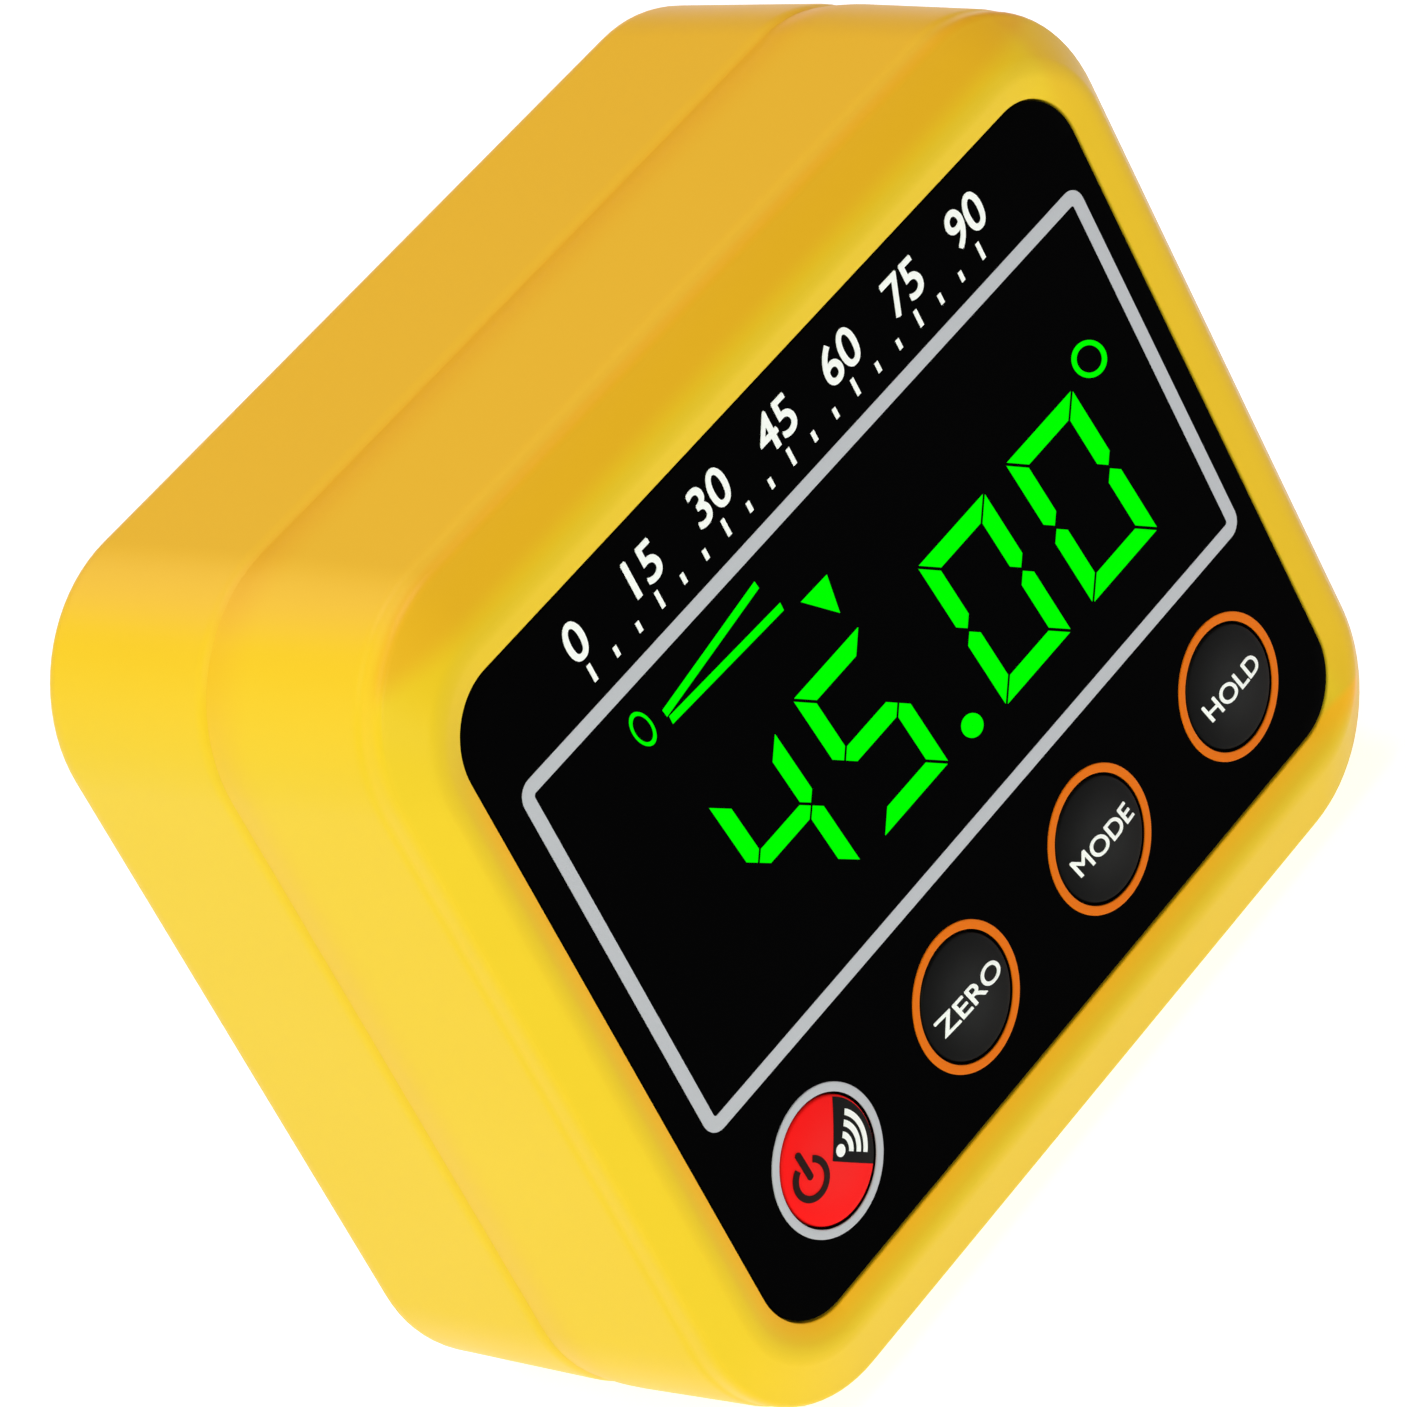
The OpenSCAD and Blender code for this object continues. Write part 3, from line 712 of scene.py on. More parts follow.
def board_green(name):
    """Lacquered board with a weave and tracks under it."""
    f = Finish(name, {"Specular IOR Level": 0.5})
    weave = f.noise(0.25 * MM, 2, 0.6, (1, 1, 3))
    tracks = f.node(
        "ShaderNodeTexBrick",
        {"offset": 0.35, "squash": 1.0},
        {"Vector": f.place(), "Scale": 700.0, "Mortar Size": 0.03,
         "Color1": (0, 0, 0, 1), "Color2": (0, 0, 0, 1), "Mortar": (1, 1, 1, 1)},
        out="Fac",
    )
    f.wear(Base_Color=f.blend(tracks * 0.5 + weave * 0.2, (0.008, 0.06, 0.018, 1), (0.03, 0.16, 0.05, 1)))
    f.wear(Roughness=0.35 + 0.15 * weave)
    return f


def cell_sleeve(name):
    """Plain sleeve that leaves the metal bare at both ends."""
    f = Finish(name, {"Specular IOR Level": 0.5})
    cloud = f.noise(6 * MM, 2)
    fine = f.noise(0.2 * MM, 1)
    bare_end = 1.1 * MM
    bare = f.math("ABSOLUTE", f.along(0)) > box_size("cell_upper", 0) / 2 - bare_end
    sleeve = f.blend(cloud, (0.035, 0.075, 0.13, 1), (0.03, 0.06, 0.105, 1))
    f.wear(Base_Color=f.blend(bare, sleeve, (0.62, 0.6, 0.57, 1)), Metallic=bare)
    f.wear(Roughness=0.28 + 0.08 * fine)
    f.relief(fine, 0.002 * MM, 0.3)
    return f


# Finishes by name: their maker and what it is given
FINISHES = {
    "moulded_yellow": (moulded_yellow,),
    "gloss_black": (gloss_black,),
    "red_key": (key_plastic, "red", "pale_red"),
    # Painted highlight: the black keys' crowns turn to the key black made 4.5 times as light
    "black_key": (key_plastic, "key_black", "key_black", 4.5),
    "grey_print": (printed, "grey"),
    "orange_print": (printed, "orange", 0.35),
    "white_print": (printed, "white"),
    "brown_print": (printed, "brown"),
    "black_print": (printed, "key_black"),
    "lit_green": (lit_green,),
    "nickel": (plated, (0.66, 0.64, 0.6, 1)),
    "steel": (plated, (0.5, 0.5, 0.51, 1), 0.3),
    "magnet_plate": (plated, (0.6, 0.6, 0.6, 1), 0.18, (1, 1, 0.2), 0.2 * MM),
    "chip_black": (moulded, (0.012, 0.012, 0.013, 1), 0.55),
    "foam_black": (moulded, (0.015, 0.015, 0.015, 1), 0.85, MM, 0.25 * MM),
    "switch_dark": (moulded, (0.02, 0.02, 0.021, 1), 0.4),
    "guide_white": (moulded, (0.8, 0.8, 0.78, 1), 0.25),
    "led_white": (moulded, (0.85, 0.82, 0.6, 1), 0.3),
    "display_glass": (moulded, (0.012, 0.02, 0.014, 1), 0.08),
    "strip_rubber": (strip_rubber,),
    "board_green": (board_green,),
    "cell_sleeve": (cell_sleeve,),
}
MADE = {}


def dressed(obj, finish):
    """Gives a piece its finish, which is made once."""
    if finish not in MADE:
        maker, *given = FINISHES[finish]
        MADE[finish] = maker(finish, *given).material
    obj.data.materials.clear()
    obj.data.materials.append(MADE[finish])


def seated(obj, finish, body, slot=None, *replaces):
    """Puts a piece with its finish on its body and hides the nodes that it stands for.
    The slot is not used.
    """
    dressed(obj, finish)
    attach(obj, body)
    if replaces:
        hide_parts(*replaces)


# Places that several pieces share


def level(above_back):
    """y of a level above the back face."""
    return bpy.context.scene.gauge_housing.depth / 2 - above_back


def middle():
    """Height of the middle of the face."""
    return bpy.context.scene.gauge_housing.height / 2


def face_y():
    """y of the panel's face."""
    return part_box("face_panel")[0][1]


def on_face(place):
    """x and z of a place given in millimetres from the face's middle."""
    return place[0] * MM, middle() + place[1] * MM


def face_point(x, z):
    """Point on the panel's face."""
    return x, face_y(), z


def key_centre(name):
    """x and z of a key's middle."""
    x, _, z = box_middle(name + "_key")
    return x, z


def around(inset, above_back):
    """Station on the housing's outline, set in from it."""
    s = bpy.context.scene.gauge_housing
    return (s.width - 2 * inset, s.height + s.skim - 2 * inset, s.corner - inset, 0,
            (s.height - s.skim) / 2, level(above_back))


def inside(lap, above_back):
    """Station on the cavity's outline, let out from it."""
    s = bpy.context.scene.gauge_housing
    return (s.width - 2 * s.wall + 2 * lap, s.height - 2 * s.wall + 2 * lap, s.corner - s.wall + lap, 0,
            middle(), level(above_back))


def round_panel(lap, above_back):
    """Station on the panel's outline, let out from it."""
    p = bpy.context.scene.gauge_face
    return (box_size("face_panel", 0) + 2 * lap, box_size("face_panel", 2) + 2 * lap, p.panel_corner + lap, 0,
            middle(), level(above_back))


def boss_spots():
    """Axes of the corner bosses, from the screws in them."""
    low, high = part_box("housing_screws")
    head_radius = 2 * MM
    across, up = [(low[axis] + head_radius, high[axis] - head_radius) for axis in (0, 2)]
    return [(x, 0, z) for x in across for z in up]


def key_spots():
    """Axes of the keys."""
    return [(x, 0, z) for x, z in (key_centre(name) for name in KEY_NAMES)]


def turned_tools(name, rings, spots, axis, steps):
    """A turned tool, one on each axis."""
    return repeated(turned(name, rings, spots[0], axis, steps), spots)


def rods(name, radius, start, end, spots, steps):
    """Round tools along the depth between two levels, one on each axis."""
    return turned_tools(name, [(radius, level(start)), (radius, level(end))], spots, 1, steps)


def blocks(name, size, spots):
    """Box tools, one at each spot."""
    return repeated(block(name, size, spots[0]), spots)


def magnet_spots(nodes):
    """Axes of magnets in the base."""
    return [(*box_middle(node)[:2], 0) for node in nodes]


def magnet_pockets(nodes):
    """Tools for the magnets' pockets in the base."""
    play, lead_in = 0.05 * MM, 0.25 * MM
    r = box_size(nodes[0], 0) / 2 + play
    top = box_size(nodes[0], 2) + SLIP
    rings = [(r + lead_in + MM, -MM), (r + lead_in, -HAIR), (r, lead_in), (r, top)]
    return turned_tools("pocket", rings, magnet_spots(nodes), 2, 48)


def magnet_cups(nodes):
    """Cups that hold the magnets in the base."""
    s = bpy.context.scene.gauge_housing
    r = box_size(nodes[0], 0) / 2 + s.cup
    rings = [(r, s.skim), (r, box_size(nodes[0], 2) + SLIP + s.cup)]
    return turned_tools("cup", rings, magnet_spots(nodes), 2, 48)


# Flat shapes for print and light


def flat_plate(size, centre, turn=0):
    """An upright flat plate on the panel's face. A turn goes anticlockwise, seen from the front."""
    pivot = face_point(*centre)
    deselect()
    bpy.ops.mesh.primitive_plane_add(size=1, location=pivot, rotation=UPRIGHT)
    plate = settle(bpy.context.object)
    with editing(plate):
        bpy.ops.transform.resize(value=(size[0], 1, size[1]), center_override=pivot)
        bpy.ops.transform.rotate(value=turn, orient_axis="Y", center_override=pivot)
    return plate


def flat_ring(outer, inner, centre, steps):
    """An upright flat ring on the panel's face, or a disc when its inner radius is a pinhole."""
    deselect()
    bpy.ops.mesh.primitive_circle_add(
        vertices=steps, radius=outer, location=face_point(*centre), rotation=UPRIGHT, fill_type="NGON"
    )
    ring = settle(bpy.context.object)
    with editing(ring):
        bpy.ops.mesh.select_mode(type="FACE")
        bpy.ops.mesh.select_all(action="SELECT")
        bpy.ops.mesh.inset(thickness=outer - inner, use_even_offset=False)
        bpy.ops.mesh.delete(type="FACE")
    return ring


def clipped(plate, cuts):
    """Cuts a flat plate along lines. Each has a point on the line and the side that goes."""
    with editing(plate):
        for (x, z), (nx, nz) in cuts:
            bpy.ops.mesh.select_all(action="SELECT")
            bpy.ops.mesh.bisect(
                plane_co=face_point(x, z), plane_no=(nx, 0, nz), clear_outer=True, threshold=HAIR / 100
            )
    return plate


def swept_between(plate, centre, start, end):
    """Keeps the part of a flat ring between two angles, seen from the front."""
    def outside(point):
        angle = math.degrees(math.atan2(point.z - centre[1], point.x - centre[0]))
        return not any(start < angle + turn < end for turn in (-360, 0, 360))

    with editing(plate):
        pick_faces(plate, outside)
        bpy.ops.mesh.delete(type="FACE")
    return plate


def inked(plate, thickness):
    """Gives a flat shape the thickness of print, towards the front."""
    with editing(plate):
        bpy.ops.mesh.remove_doubles(threshold=HAIR / 20)
        bpy.ops.mesh.select_mode(type="FACE")
        bpy.ops.mesh.select_all(action="DESELECT")
        mesh = bmesh.from_edit_mesh(plate.data)
        mesh.normal_update()
        for face in mesh.faces:
            face.select_set(face.normal.y > 0)
        bmesh.update_edit_mesh(plate.data)
        bpy.ops.mesh.flip_normals()
    return modified(plate, "SOLIDIFY", thickness=thickness, offset=1)


def leaned(obj, slope, centre):
    """Leans an upright flat shape sideways: a turn, a stretch along two axes and a turn back."""
    stretch = math.hypot(1, slope / 2)
    wide, slim = stretch + slope / 2, stretch - slope / 2
    first = math.atan2(1, wide)
    second = math.atan2(wide, 1)
    with editing(obj):
        bpy.ops.transform.rotate(value=-second, orient_axis="Y", center_override=centre)
        bpy.ops.transform.resize(value=(wide, 1, slim), center_override=centre)
        bpy.ops.transform.rotate(value=first, orient_axis="Y", center_override=centre)
    return obj


# Heights of print over a key's crown
QUARTER_LIFT, WORD_LIFT, SIGN_LIFT, WAVE_LIFT = 0.005 * MM, 0.01 * MM, 0.02 * MM, 0.025 * MM


def laid_on(obj, key, lift):
    """Lays a flat shape on a key's crown."""
    return modified(
        obj, "SHRINKWRAP", target=key, wrap_method="PROJECT", wrap_mode="ABOVE_SURFACE", offset=lift,
        use_project_y=True, use_negative_direction=True, use_positive_direction=True,
    )


def finely_divided(obj, cuts):
    """Divides a flat shape, so that it can follow a crown."""
    with editing(obj):
        bpy.ops.mesh.subdivide(number_cuts=cuts)
    return obj


def lettering(words, height, centre, width=None, bold=0.03 * MM, lean=0, key=None):
    """Flat letters on the panel's face, or laid on a key, scaled to a height and, where given, to a length.
    Three strikes round the middle make them bold and keep their counters open."""
    deselect()
    bpy.ops.object.text_add(location=(0, 0, 0), rotation=UPRIGHT)
    text = bpy.context.object
    text.data.body = words
    text.data.size = height
    text.data.resolution_u = 6
    bpy.ops.object.convert(target="MESH")
    text = settle(bpy.context.object)
    across, up = [[v.co[axis] for v in text.data.vertices] for axis in (0, 2)]
    left, right, foot, top = min(across), max(across), min(up), max(up)
    tall = (height - 2 * bold) / (top - foot)
    wide = (width - 2 * bold) / (right - left) if width else tall
    with editing(text):
        bpy.ops.transform.resize(value=(wide, 1, tall), center_override=(0, 0, 0))
        bpy.ops.transform.translate(value=(
            centre[0] - wide * (left + right) / 2, face_y(), centre[1] - tall * (foot + top) / 2
        ))
    leaned(text, lean, face_point(*centre))
    if key:
        laid_on(text, key, WORD_LIFT)
    strikes = []
    for i, angle in enumerate(math.radians(a) for a in (90, 210, 330)):
        strikes.append(moved(
            copy_of(text, words), (bold * math.cos(angle), -i * HAIR / 5, bold * math.sin(angle))
        ))
    bpy.data.objects.remove(text)
    return joined(strikes, words)


# Pieces


# Axes of the board's posts in millimetres, as x and z
POSTS = ((-17, 44.95), (17, 44.95), (-12.35, 6.7), (12.55, 6.7))


class GAUGE_OT_front_cover(bpy.types.Operator):
    """Front cover: drafted walls, band, shoulder, crest and dished rim, with its bosses and openings"""

    bl_idname = "gauge.front_cover"
    bl_label = "Front cover"

    def execute(self, context):
        s = context.scene.gauge_housing
        keys = context.scene.gauge_keys
        band = s.depth - s.band_depth
        inner = s.depth - s.pocket - s.front_wall
        groove = s.seam + s.tongue + SLIP
        band_in = s.wall_draft + s.band_step
        band_slope, crest_fall, crest_width = 0.35 * MM, 0.1 * MM, 0.65 * MM
        section = softened([
            (inside(0, inner), 0),
            (inside(0, groove), 0),
            (inside(s.wall / 2, groove), 0),
            (inside(s.wall / 2, s.seam), 0),
            (around(s.valley, s.seam), 0),
            (around(0, s.seam + s.valley_front), 1.1 * MM),
            (around(s.wall_draft, band), 0.3 * MM),
            (around(band_in, band + band_slope), 0.3 * MM),
            (around(band_in, s.depth - s.shoulder), 0.8 * MM),
            (round_panel(s.rim, s.depth - crest_fall), 0.7 * MM),
            (round_panel(s.rim - crest_width, s.depth), 0.6 * MM),
            (round_panel(SLIP, s.depth - s.rim_drop), 0.15 * MM),
            (round_panel(SLIP, s.depth - s.pocket), 0),
        ])
        cover = flat_base(lofted("front_cover_shell", section, 20))
        posts = [(x * MM, 0, z * MM) for x, z in POSTS]
        sunk = inner + 0.05 * MM
        post, post_foot = 1.9 * MM, 17.6 * MM
        fused(cover, *rods("boss", s.boss, s.seam, sunk, boss_spots(), 40))
        fused(cover, *rods("post", post, post_foot, sunk, posts, 32))
        post_bore, post_bore_end = 0.7 * MM, 21.2 * MM
        carved(cover, *rods("post_hole", post_bore, 17 * MM, post_bore_end, posts, 24))
        boss_bore, boss_bore_end = 0.95 * MM, 18.85 * MM
        carved(cover, *rods("boss_hole", boss_bore, s.seam - MM, boss_bore_end, boss_spots(), 24))
        fused(cover, *magnet_cups(FRONT_MAGNETS))
        side_lap, end_lap, through = 1.3 * MM, 2.5 * MM, 4 * MM
        wide = box_size("display_gasket", 0) - 2 * side_lap
        tall = box_size("display_gasket", 2) - 2 * end_lap
        x, _, z = box_middle("display_gasket")
        carved(cover, block("window", (wide, through, tall), (x, level(inner), z)))
        carved(cover, *rods("key_hole", keys.radius + keys.gap, inner - MM, s.depth, key_spots(), 48))
        carved(cover, *magnet_pockets(FRONT_MAGNETS))
        seated(smoothed(cover), "moulded_yellow", "housing", "housing_yellow", "front_cover")
        return {"FINISHED"}


class GAUGE_OT_rear_cover(bpy.types.Operator):
    """Rear cover: drafted walls, round back edge, battery bay, door recess, screw wells and magnet cups"""

    bl_idname = "gauge.rear_cover"
    bl_label = "Rear cover"

    def execute(self, context):
        s = context.scene.gauge_housing
        draft = 0.1 * MM
        tongue = s.wall / 2 - SLIP
        section = softened([
            (inside(0, s.wall), 0),
            (inside(0, s.seam + s.tongue), 0),
            (inside(tongue, s.seam + s.tongue), 0),
            (inside(tongue, s.seam), 0),
            (around(s.valley, s.seam), 0),
            (around(0, s.seam - s.valley_rear), 0.35 * MM),
            (around(draft, 0), s.back_edge),
            (around(draft + 2 * s.back_edge, 0), 0),
        ], 7)
        cover = flat_base(lofted("rear_cover_shell", section, 20))
        low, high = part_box("battery_door")
        door_gap = 0.3 * MM
        recess = (high[0] - low[0] + 2 * door_gap, high[2] - low[2] + 2 * door_gap)
        bay = (recess[0] - 2 * s.ledge, recess[1] - 2 * s.ledge)
        door_in, bay_floor, boss_foot = 1.65 * MM, 12.8 * MM, 1.2 * MM
        bay_corner, recess_corner = MM, 2.5 * MM
        frame_lap, frame_foot, frame_top = 1.1 * MM, 1.1 * MM, 3 * MM

        def opening(size, corner, lap, above_back):
            """Station on the outline of the bay or the recess, let out from it."""
            return (size[0] + 2 * lap, size[1] + 2 * lap, corner + lap, 0, middle(), level(above_back))

        def slab(name, size, corner, lap, low_level, high_level):
            """Block on the outline of the bay or the recess between two levels."""
            return lofted(name, [opening(size, corner, lap, end) for end in (low_level, high_level)], 8)

        fused(cover, slab("bay_block", bay, bay_corner, s.bay_wall, MM, bay_floor + s.bay_wall))
        fused(cover, slab("ledge_frame", recess, recess_corner, frame_lap, frame_foot, frame_top))
        fused(cover, *rods("boss", s.boss, boss_foot, s.seam, boss_spots(), 40))
        fused(cover, *magnet_cups(REAR_MAGNETS))
        carved(cover, slab("bay", bay, bay_corner, 0, -MM, bay_floor))
        mouth = softened([
            (opening(recess, recess_corner, 1.5 * MM, -MM), 0),
            (opening(recess, recess_corner, 0.45 * MM, -HAIR), 0),
            (opening(recess, recess_corner, 0, 0.02 * MM), 0.4 * MM),
            (opening(recess, recess_corner, 0, door_in), 0),
        ], 4)
        carved(cover, lofted("recess", mouth, 10))
        thumb = [(6.9 * MM, level(-MM)), (6.25 * MM, level(-HAIR)), (6 * MM, level(0.2 * MM)),
                 (5.8 * MM, level(0.7 * MM)), (5.2 * MM, level(0.9 * MM))]
        carved(cover, turned("thumb_scoop", thumb, (0, 0, middle() + recess[1] / 2), 1, 64))
        well = [(3.2 * MM, level(-MM)), (2.4 * MM, level(-HAIR)), (2.2 * MM, level(0.2 * MM)),
                (2.2 * MM, level(3 * MM))]
        carved(cover, *turned_tools("screw_well", well, boss_spots(), 1, 40))
        shank_hole = 1.1 * MM
        carved(cover, *rods("screw_hole", shank_hole, 2 * MM, s.seam + MM, boss_spots(), 24))
        leg_x, leg_z, leg_size = 24 * MM, 5.425 * MM, (0.6 * MM, 3.2 * MM, 2.2 * MM)
        legs = [(x, level(13.4 * MM), middle() + z) for x in (-leg_x, leg_x) for z in (-leg_z, leg_z)]
        carved(cover, *blocks("leg_slot", leg_size, legs))
        carved(cover, *magnet_pockets(REAR_MAGNETS))
        seated(smoothed(cover), "moulded_yellow", "housing", "housing_yellow", "rear_cover")
        return {"FINISHED"}


class GAUGE_OT_battery_door(bpy.types.Operator):
    """Battery door with round edges, a latch tongue, grip grooves and ribs"""

    bl_idname = "gauge.battery_door"
    bl_label = "Battery door"

    def execute(self, context):
        low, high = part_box("battery_door")
        width, tall = high[0] - low[0], high[2] - low[2]
        thick = 1.6 * MM
        corner = 2.2 * MM
        x, z = 0, middle()
        section = softened([
            ((width, tall, corner, x, z, level(thick)), 0),
            ((width, tall, corner, x, z, level(0)), 0.35 * MM),
            ((width - 2 * MM, tall - 2 * MM, corner - MM, x, z, level(0)), 0),
        ], 4)
        door = lofted("battery_door_cover", section, 10)
        sunk, rib_length, rib_in = 0.1 * MM, 32 * MM, 3.1 * MM
        rib_y = (level(thick) + low[1] + sunk) / 2
        ribs = [(x, rib_y, z + side * (tall / 2 - rib_in)) for side in (-1, 1)]
        fused(door, *blocks("rib", (rib_length, level(thick) - low[1] + sunk, MM), ribs))
        slit_x, slit_size = 6 * MM, (0.8 * MM, 8 * MM, 14 * MM)
        slits = [(side * slit_x, level(thick / 2), z + tall / 2) for side in (-1, 1)]
        carved(door, *blocks("slit", slit_size, slits))
        grip_radius, grip_reach, grip_pitch, grip_count = 0.4 * MM, 4.5 * MM, 1.5 * MM, 4
        grooves = [(x, level(0), z + tall / 2 - (i + 1) * grip_pitch) for i in range(grip_count)]
        ends = [(grip_radius, -grip_reach), (grip_radius, grip_reach)]
        carved(door, *turned_tools("groove", ends, grooves, 0, 24))
        seated(smoothed(door), "moulded_yellow", "door", "housing_yellow", "battery_door")
        return {"FINISHED"}


class GAUGE_OT_face_panel(bpy.types.Operator):
    """Gloss panel with a soft front edge and a hole for each key"""

    bl_idname = "gauge.face_panel"
    bl_label = "Face panel"

    def execute(self, context):
        p, keys = context.scene.gauge_face, context.scene.gauge_keys
        low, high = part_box("face_panel")
        size = (high[0] - low[0], high[2] - low[2])
        x, _, z = box_middle("face_panel")
        section = softened([
            ((*size, p.panel_corner, x, z, high[1]), 0),
            ((*size, p.panel_corner, x, z, low[1]), p.panel_edge),
            ((size[0] - 2 * MM, size[1] - 2 * MM, p.panel_corner - MM, x, z, low[1]), 0),
        ], 4)
        panel = lofted("face_panel_sheet", section, 16)
        hole = [(keys.radius + keys.gap, high[1] + MM), (keys.radius + keys.gap, low[1] - MM)]
        carved(panel, *turned_tools("key_hole", hole, key_spots(), 1, 64))
        seated(smoothed(panel), "gloss_black", "housing", "panel_black", "face_panel")
        return {"FINISHED"}


# Middle of the printed frame in millimetres, from the face's middle
FRAME_PLACE = (0.22, 3.35)


class GAUGE_OT_panel_print(bpy.types.Operator):
    """Print on the panel: the frame round the reading, the degree scale and the rings round the keys"""

    bl_idname = "gauge.panel_print"
    bl_label = "Panel print"

    def execute(self, context):
        p, keys = context.scene.gauge_face, context.scene.gauge_keys
        y = face_y()
        x, z = on_face(FRAME_PLACE)
        line, inner_corner = p.frame_line, 0.2 * MM
        outer = (p.frame_width, p.frame_height, p.frame_corner, x, z)
        inner = (p.frame_width - 2 * line, p.frame_height - 2 * line, inner_corner, x, z)
        printed_frame = lofted("printed_frame", [
            (*outer, y), (*outer, y - p.ink), (*inner, y - p.ink), (*inner, y),
        ], 8, closed=True)
        seated(smoothed(printed_frame), "grey_print", "housing")

        marks = []
        start, end, base = -16.8 * MM, 16.8 * MM, middle() + 15.6 * MM
        spaces, numbered, degrees = 18, 3, 15
        long_tick, short_tick, number_rise = 1.0 * MM, 0.6 * MM, 2.45 * MM
        places = [start + (end - start) * i / spaces for i in range(spaces + 1)]
        between = [x for i, x in enumerate(places) if i % numbered]
        for tall, row in ((long_tick, places[::numbered]), (short_tick, between)):
            spots = [(x, 0, base + tall / 2) for x in row]
            marks += repeated(flat_plate((p.tick, tall), (row[0], base + tall / 2)), spots)
        for i, x in enumerate(places[::numbered]):
            place = (x, base + number_rise)
            marks.append(lettering(str(degrees * i), p.figure_height, place, bold=0.05 * MM))
        scale = inked(joined(marks, "printed_scale"), p.ink)
        seated(scale, "white_print", "housing")

        out, width, rise, edge = keys.ring, keys.ring_line, keys.ring_rise, 0.09 * MM
        section = softened([
            ((out, y), 0),
            ((out, y - rise), edge),
            ((out - width, y - rise), edge),
            ((out - width, y), 0),
        ], 4)
        names = [name + "_ring" for name in KEY_NAMES]
        first = smoothed(turned(names[0], section, key_spots()[0], 1, 96, closed=True), 50)
        for ring in repeated(first, key_spots(), names):
            seated(ring, "grey_print" if ring == first else "orange_print", "housing")
        return {"FINISHED"}


# The reading in millimetres, with places from the face's middle
# Figures: sign, middle x and z, width and height
READING = (
    ("4", -11.27, 1.1, 5.65, 9.25),
    ("5", -3.54, 1.28, 5.83, 9.82),
    ("0", 7.39, 0.95, 6.02, 9.94),
    ("0", 15.6, 1.1, 6.15, 10.02),
)
# Rings: place, half width and half height, share of the sign line, turn in degrees
READING_RINGS = (
    ((20.12, 6.6), (1.36, 0.98), 1.1, -40),
    ((2.32, -3.22), (0.82, 0.64), 3, -40),
    ((-15.79, 11.7), (1.1, 0.64), 0.75, 103),
)
# Arms of the angle sign from end to end, and their line
ANGLE_ARMS = (((-14.2, 11.36), (-5.6, 12.46)), ((-14.05, 10.82), (-4.85, 10.47)))
ARM_LINE = 0.46
# Corners of the pointer, and the middle and side of the plate that it is cut from
POINTER = ((-3.68, 9.8), (-1.46, 9.75), (-1.84, 7.6))
POINTER_MIDDLE, POINTER_SIDE = (-2.57, 8.7), 2.6 * MM
# Width and height of the figure eight that the figures are copied from
NOMINAL = (5.9 * MM, 9.8 * MM)
# Sideways lean of the figures for each unit of height
LEAN = -0.105
# Bars of a figure by their letter, as shares of the half width and half height
BAR_PLACES = {
    "a": (0, 1), "b": (1, 0.5), "c": (1, -0.5), "d": (0, -1), "e": (-1, -0.5), "f": (-1, 0.5), "g": (0, 0),
}
LIT_BARS = {"4": "bcfg", "5": "acdfg", "0": "abcdef"}


def seven_bars(width, height, stroke, gap):
    """A figure eight of seven mitred bars round the panel face's origin."""
    half_w, half_h, rail = width / 2, height / 2, (width - stroke) / 2
    diagonal = math.sqrt(0.5)

    def bar(centre, size, cuts):
        shifted = []
        for (x, z), (nx, nz) in cuts:
            shifted.append(((x - nx * diagonal * gap / 2, z - nz * diagonal * gap / 2), (nx, nz)))
        return clipped(flat_plate(size, centre), shifted)

    bars = []
    for up in (1, -1):
        bars.append(bar((0, up * (half_h - stroke / 2)), (width, stroke),
                        [((side * half_w, up * half_h), (side, -up)) for side in (1, -1)]))
        for side in (1, -1):
            bars.append(bar((side * rail, up * half_h / 2), (stroke, half_h), [
                ((side * half_w, up * half_h), (-side, up)),
                ((side * rail, 0), (1, -up)),
                ((side * rail, 0), (-1, -up)),
            ]))
    bars.append(bar((0, 0), (2 * rail, stroke),
                    [((side * rail, 0), (side, up)) for side in (1, -1) for up in (1, -1)]))
    return joined(bars, "seven_bars")


def lit_figure(eight, stroke, figure, x, z, width, height):
    """A copy of the figure eight with its unlit bars taken out, leaned and put in its place."""
    copy = copy_of(eight, "figure")
    y = face_y()
    rail, top = (NOMINAL[0] - stroke) / 2, (NOMINAL[1] - stroke) / 2
    unlit = [(bx * rail, bz * top) for bar, (bx, bz) in BAR_PLACES.items() if bar not in LIT_BARS[figure]]

    def is_unlit(point):
        return any(abs(point.x - bx) < stroke and abs(point.z - bz) < stroke for bx, bz in unlit)

    with editing(copy):
        pick_faces(copy, is_unlit)
        bpy.ops.mesh.delete(type="FACE")
    leaned(copy, LEAN, (0, y, 0))
    with editing(copy):
        share = (width * MM / NOMINAL[0], 1, height * MM / NOMINAL[1])
        bpy.ops.transform.resize(value=share, center_override=(0, y, 0))
        bpy.ops.transform.translate(value=(x * MM, 0, middle() + z * MM))
    return copy


def oval(place, radii, line, turn):
    """An oval ring, filled when its line is wider than its radius."""
    x, z = on_face(place)
    radius = radii[0] * MM
    ring = flat_ring(radius, max(radius - line, PINHOLE), (x, z), 48)
    pivot = face_point(x, z)
    with editing(ring):
        bpy.ops.transform.resize(value=(1, 1, radii[1] / radii[0]), center_override=pivot)
        bpy.ops.transform.rotate(value=math.radians(turn), orient_axis="Y", center_override=pivot)
    return ring


def line_between(start, end, width):
    """A straight line from end to end."""
    a, b = on_face(start), on_face(end)
    run, climb = b[0] - a[0], b[1] - a[1]
    centre = ((a[0] + b[0]) / 2, (a[1] + b[1]) / 2)
    return flat_plate((math.hypot(run, climb), width * MM), centre, math.atan2(climb, run))


def pointer():
    """The small triangle that points down at the figures."""
    corners = [on_face(corner) for corner in POINTER]
    cuts = []
    for a, b in zip(corners, corners[1:] + corners[:1]):
        cuts.append((a, (a[1] - b[1], b[0] - a[0])))
    return clipped(flat_plate((POINTER_SIDE, POINTER_SIDE), on_face(POINTER_MIDDLE)), cuts)


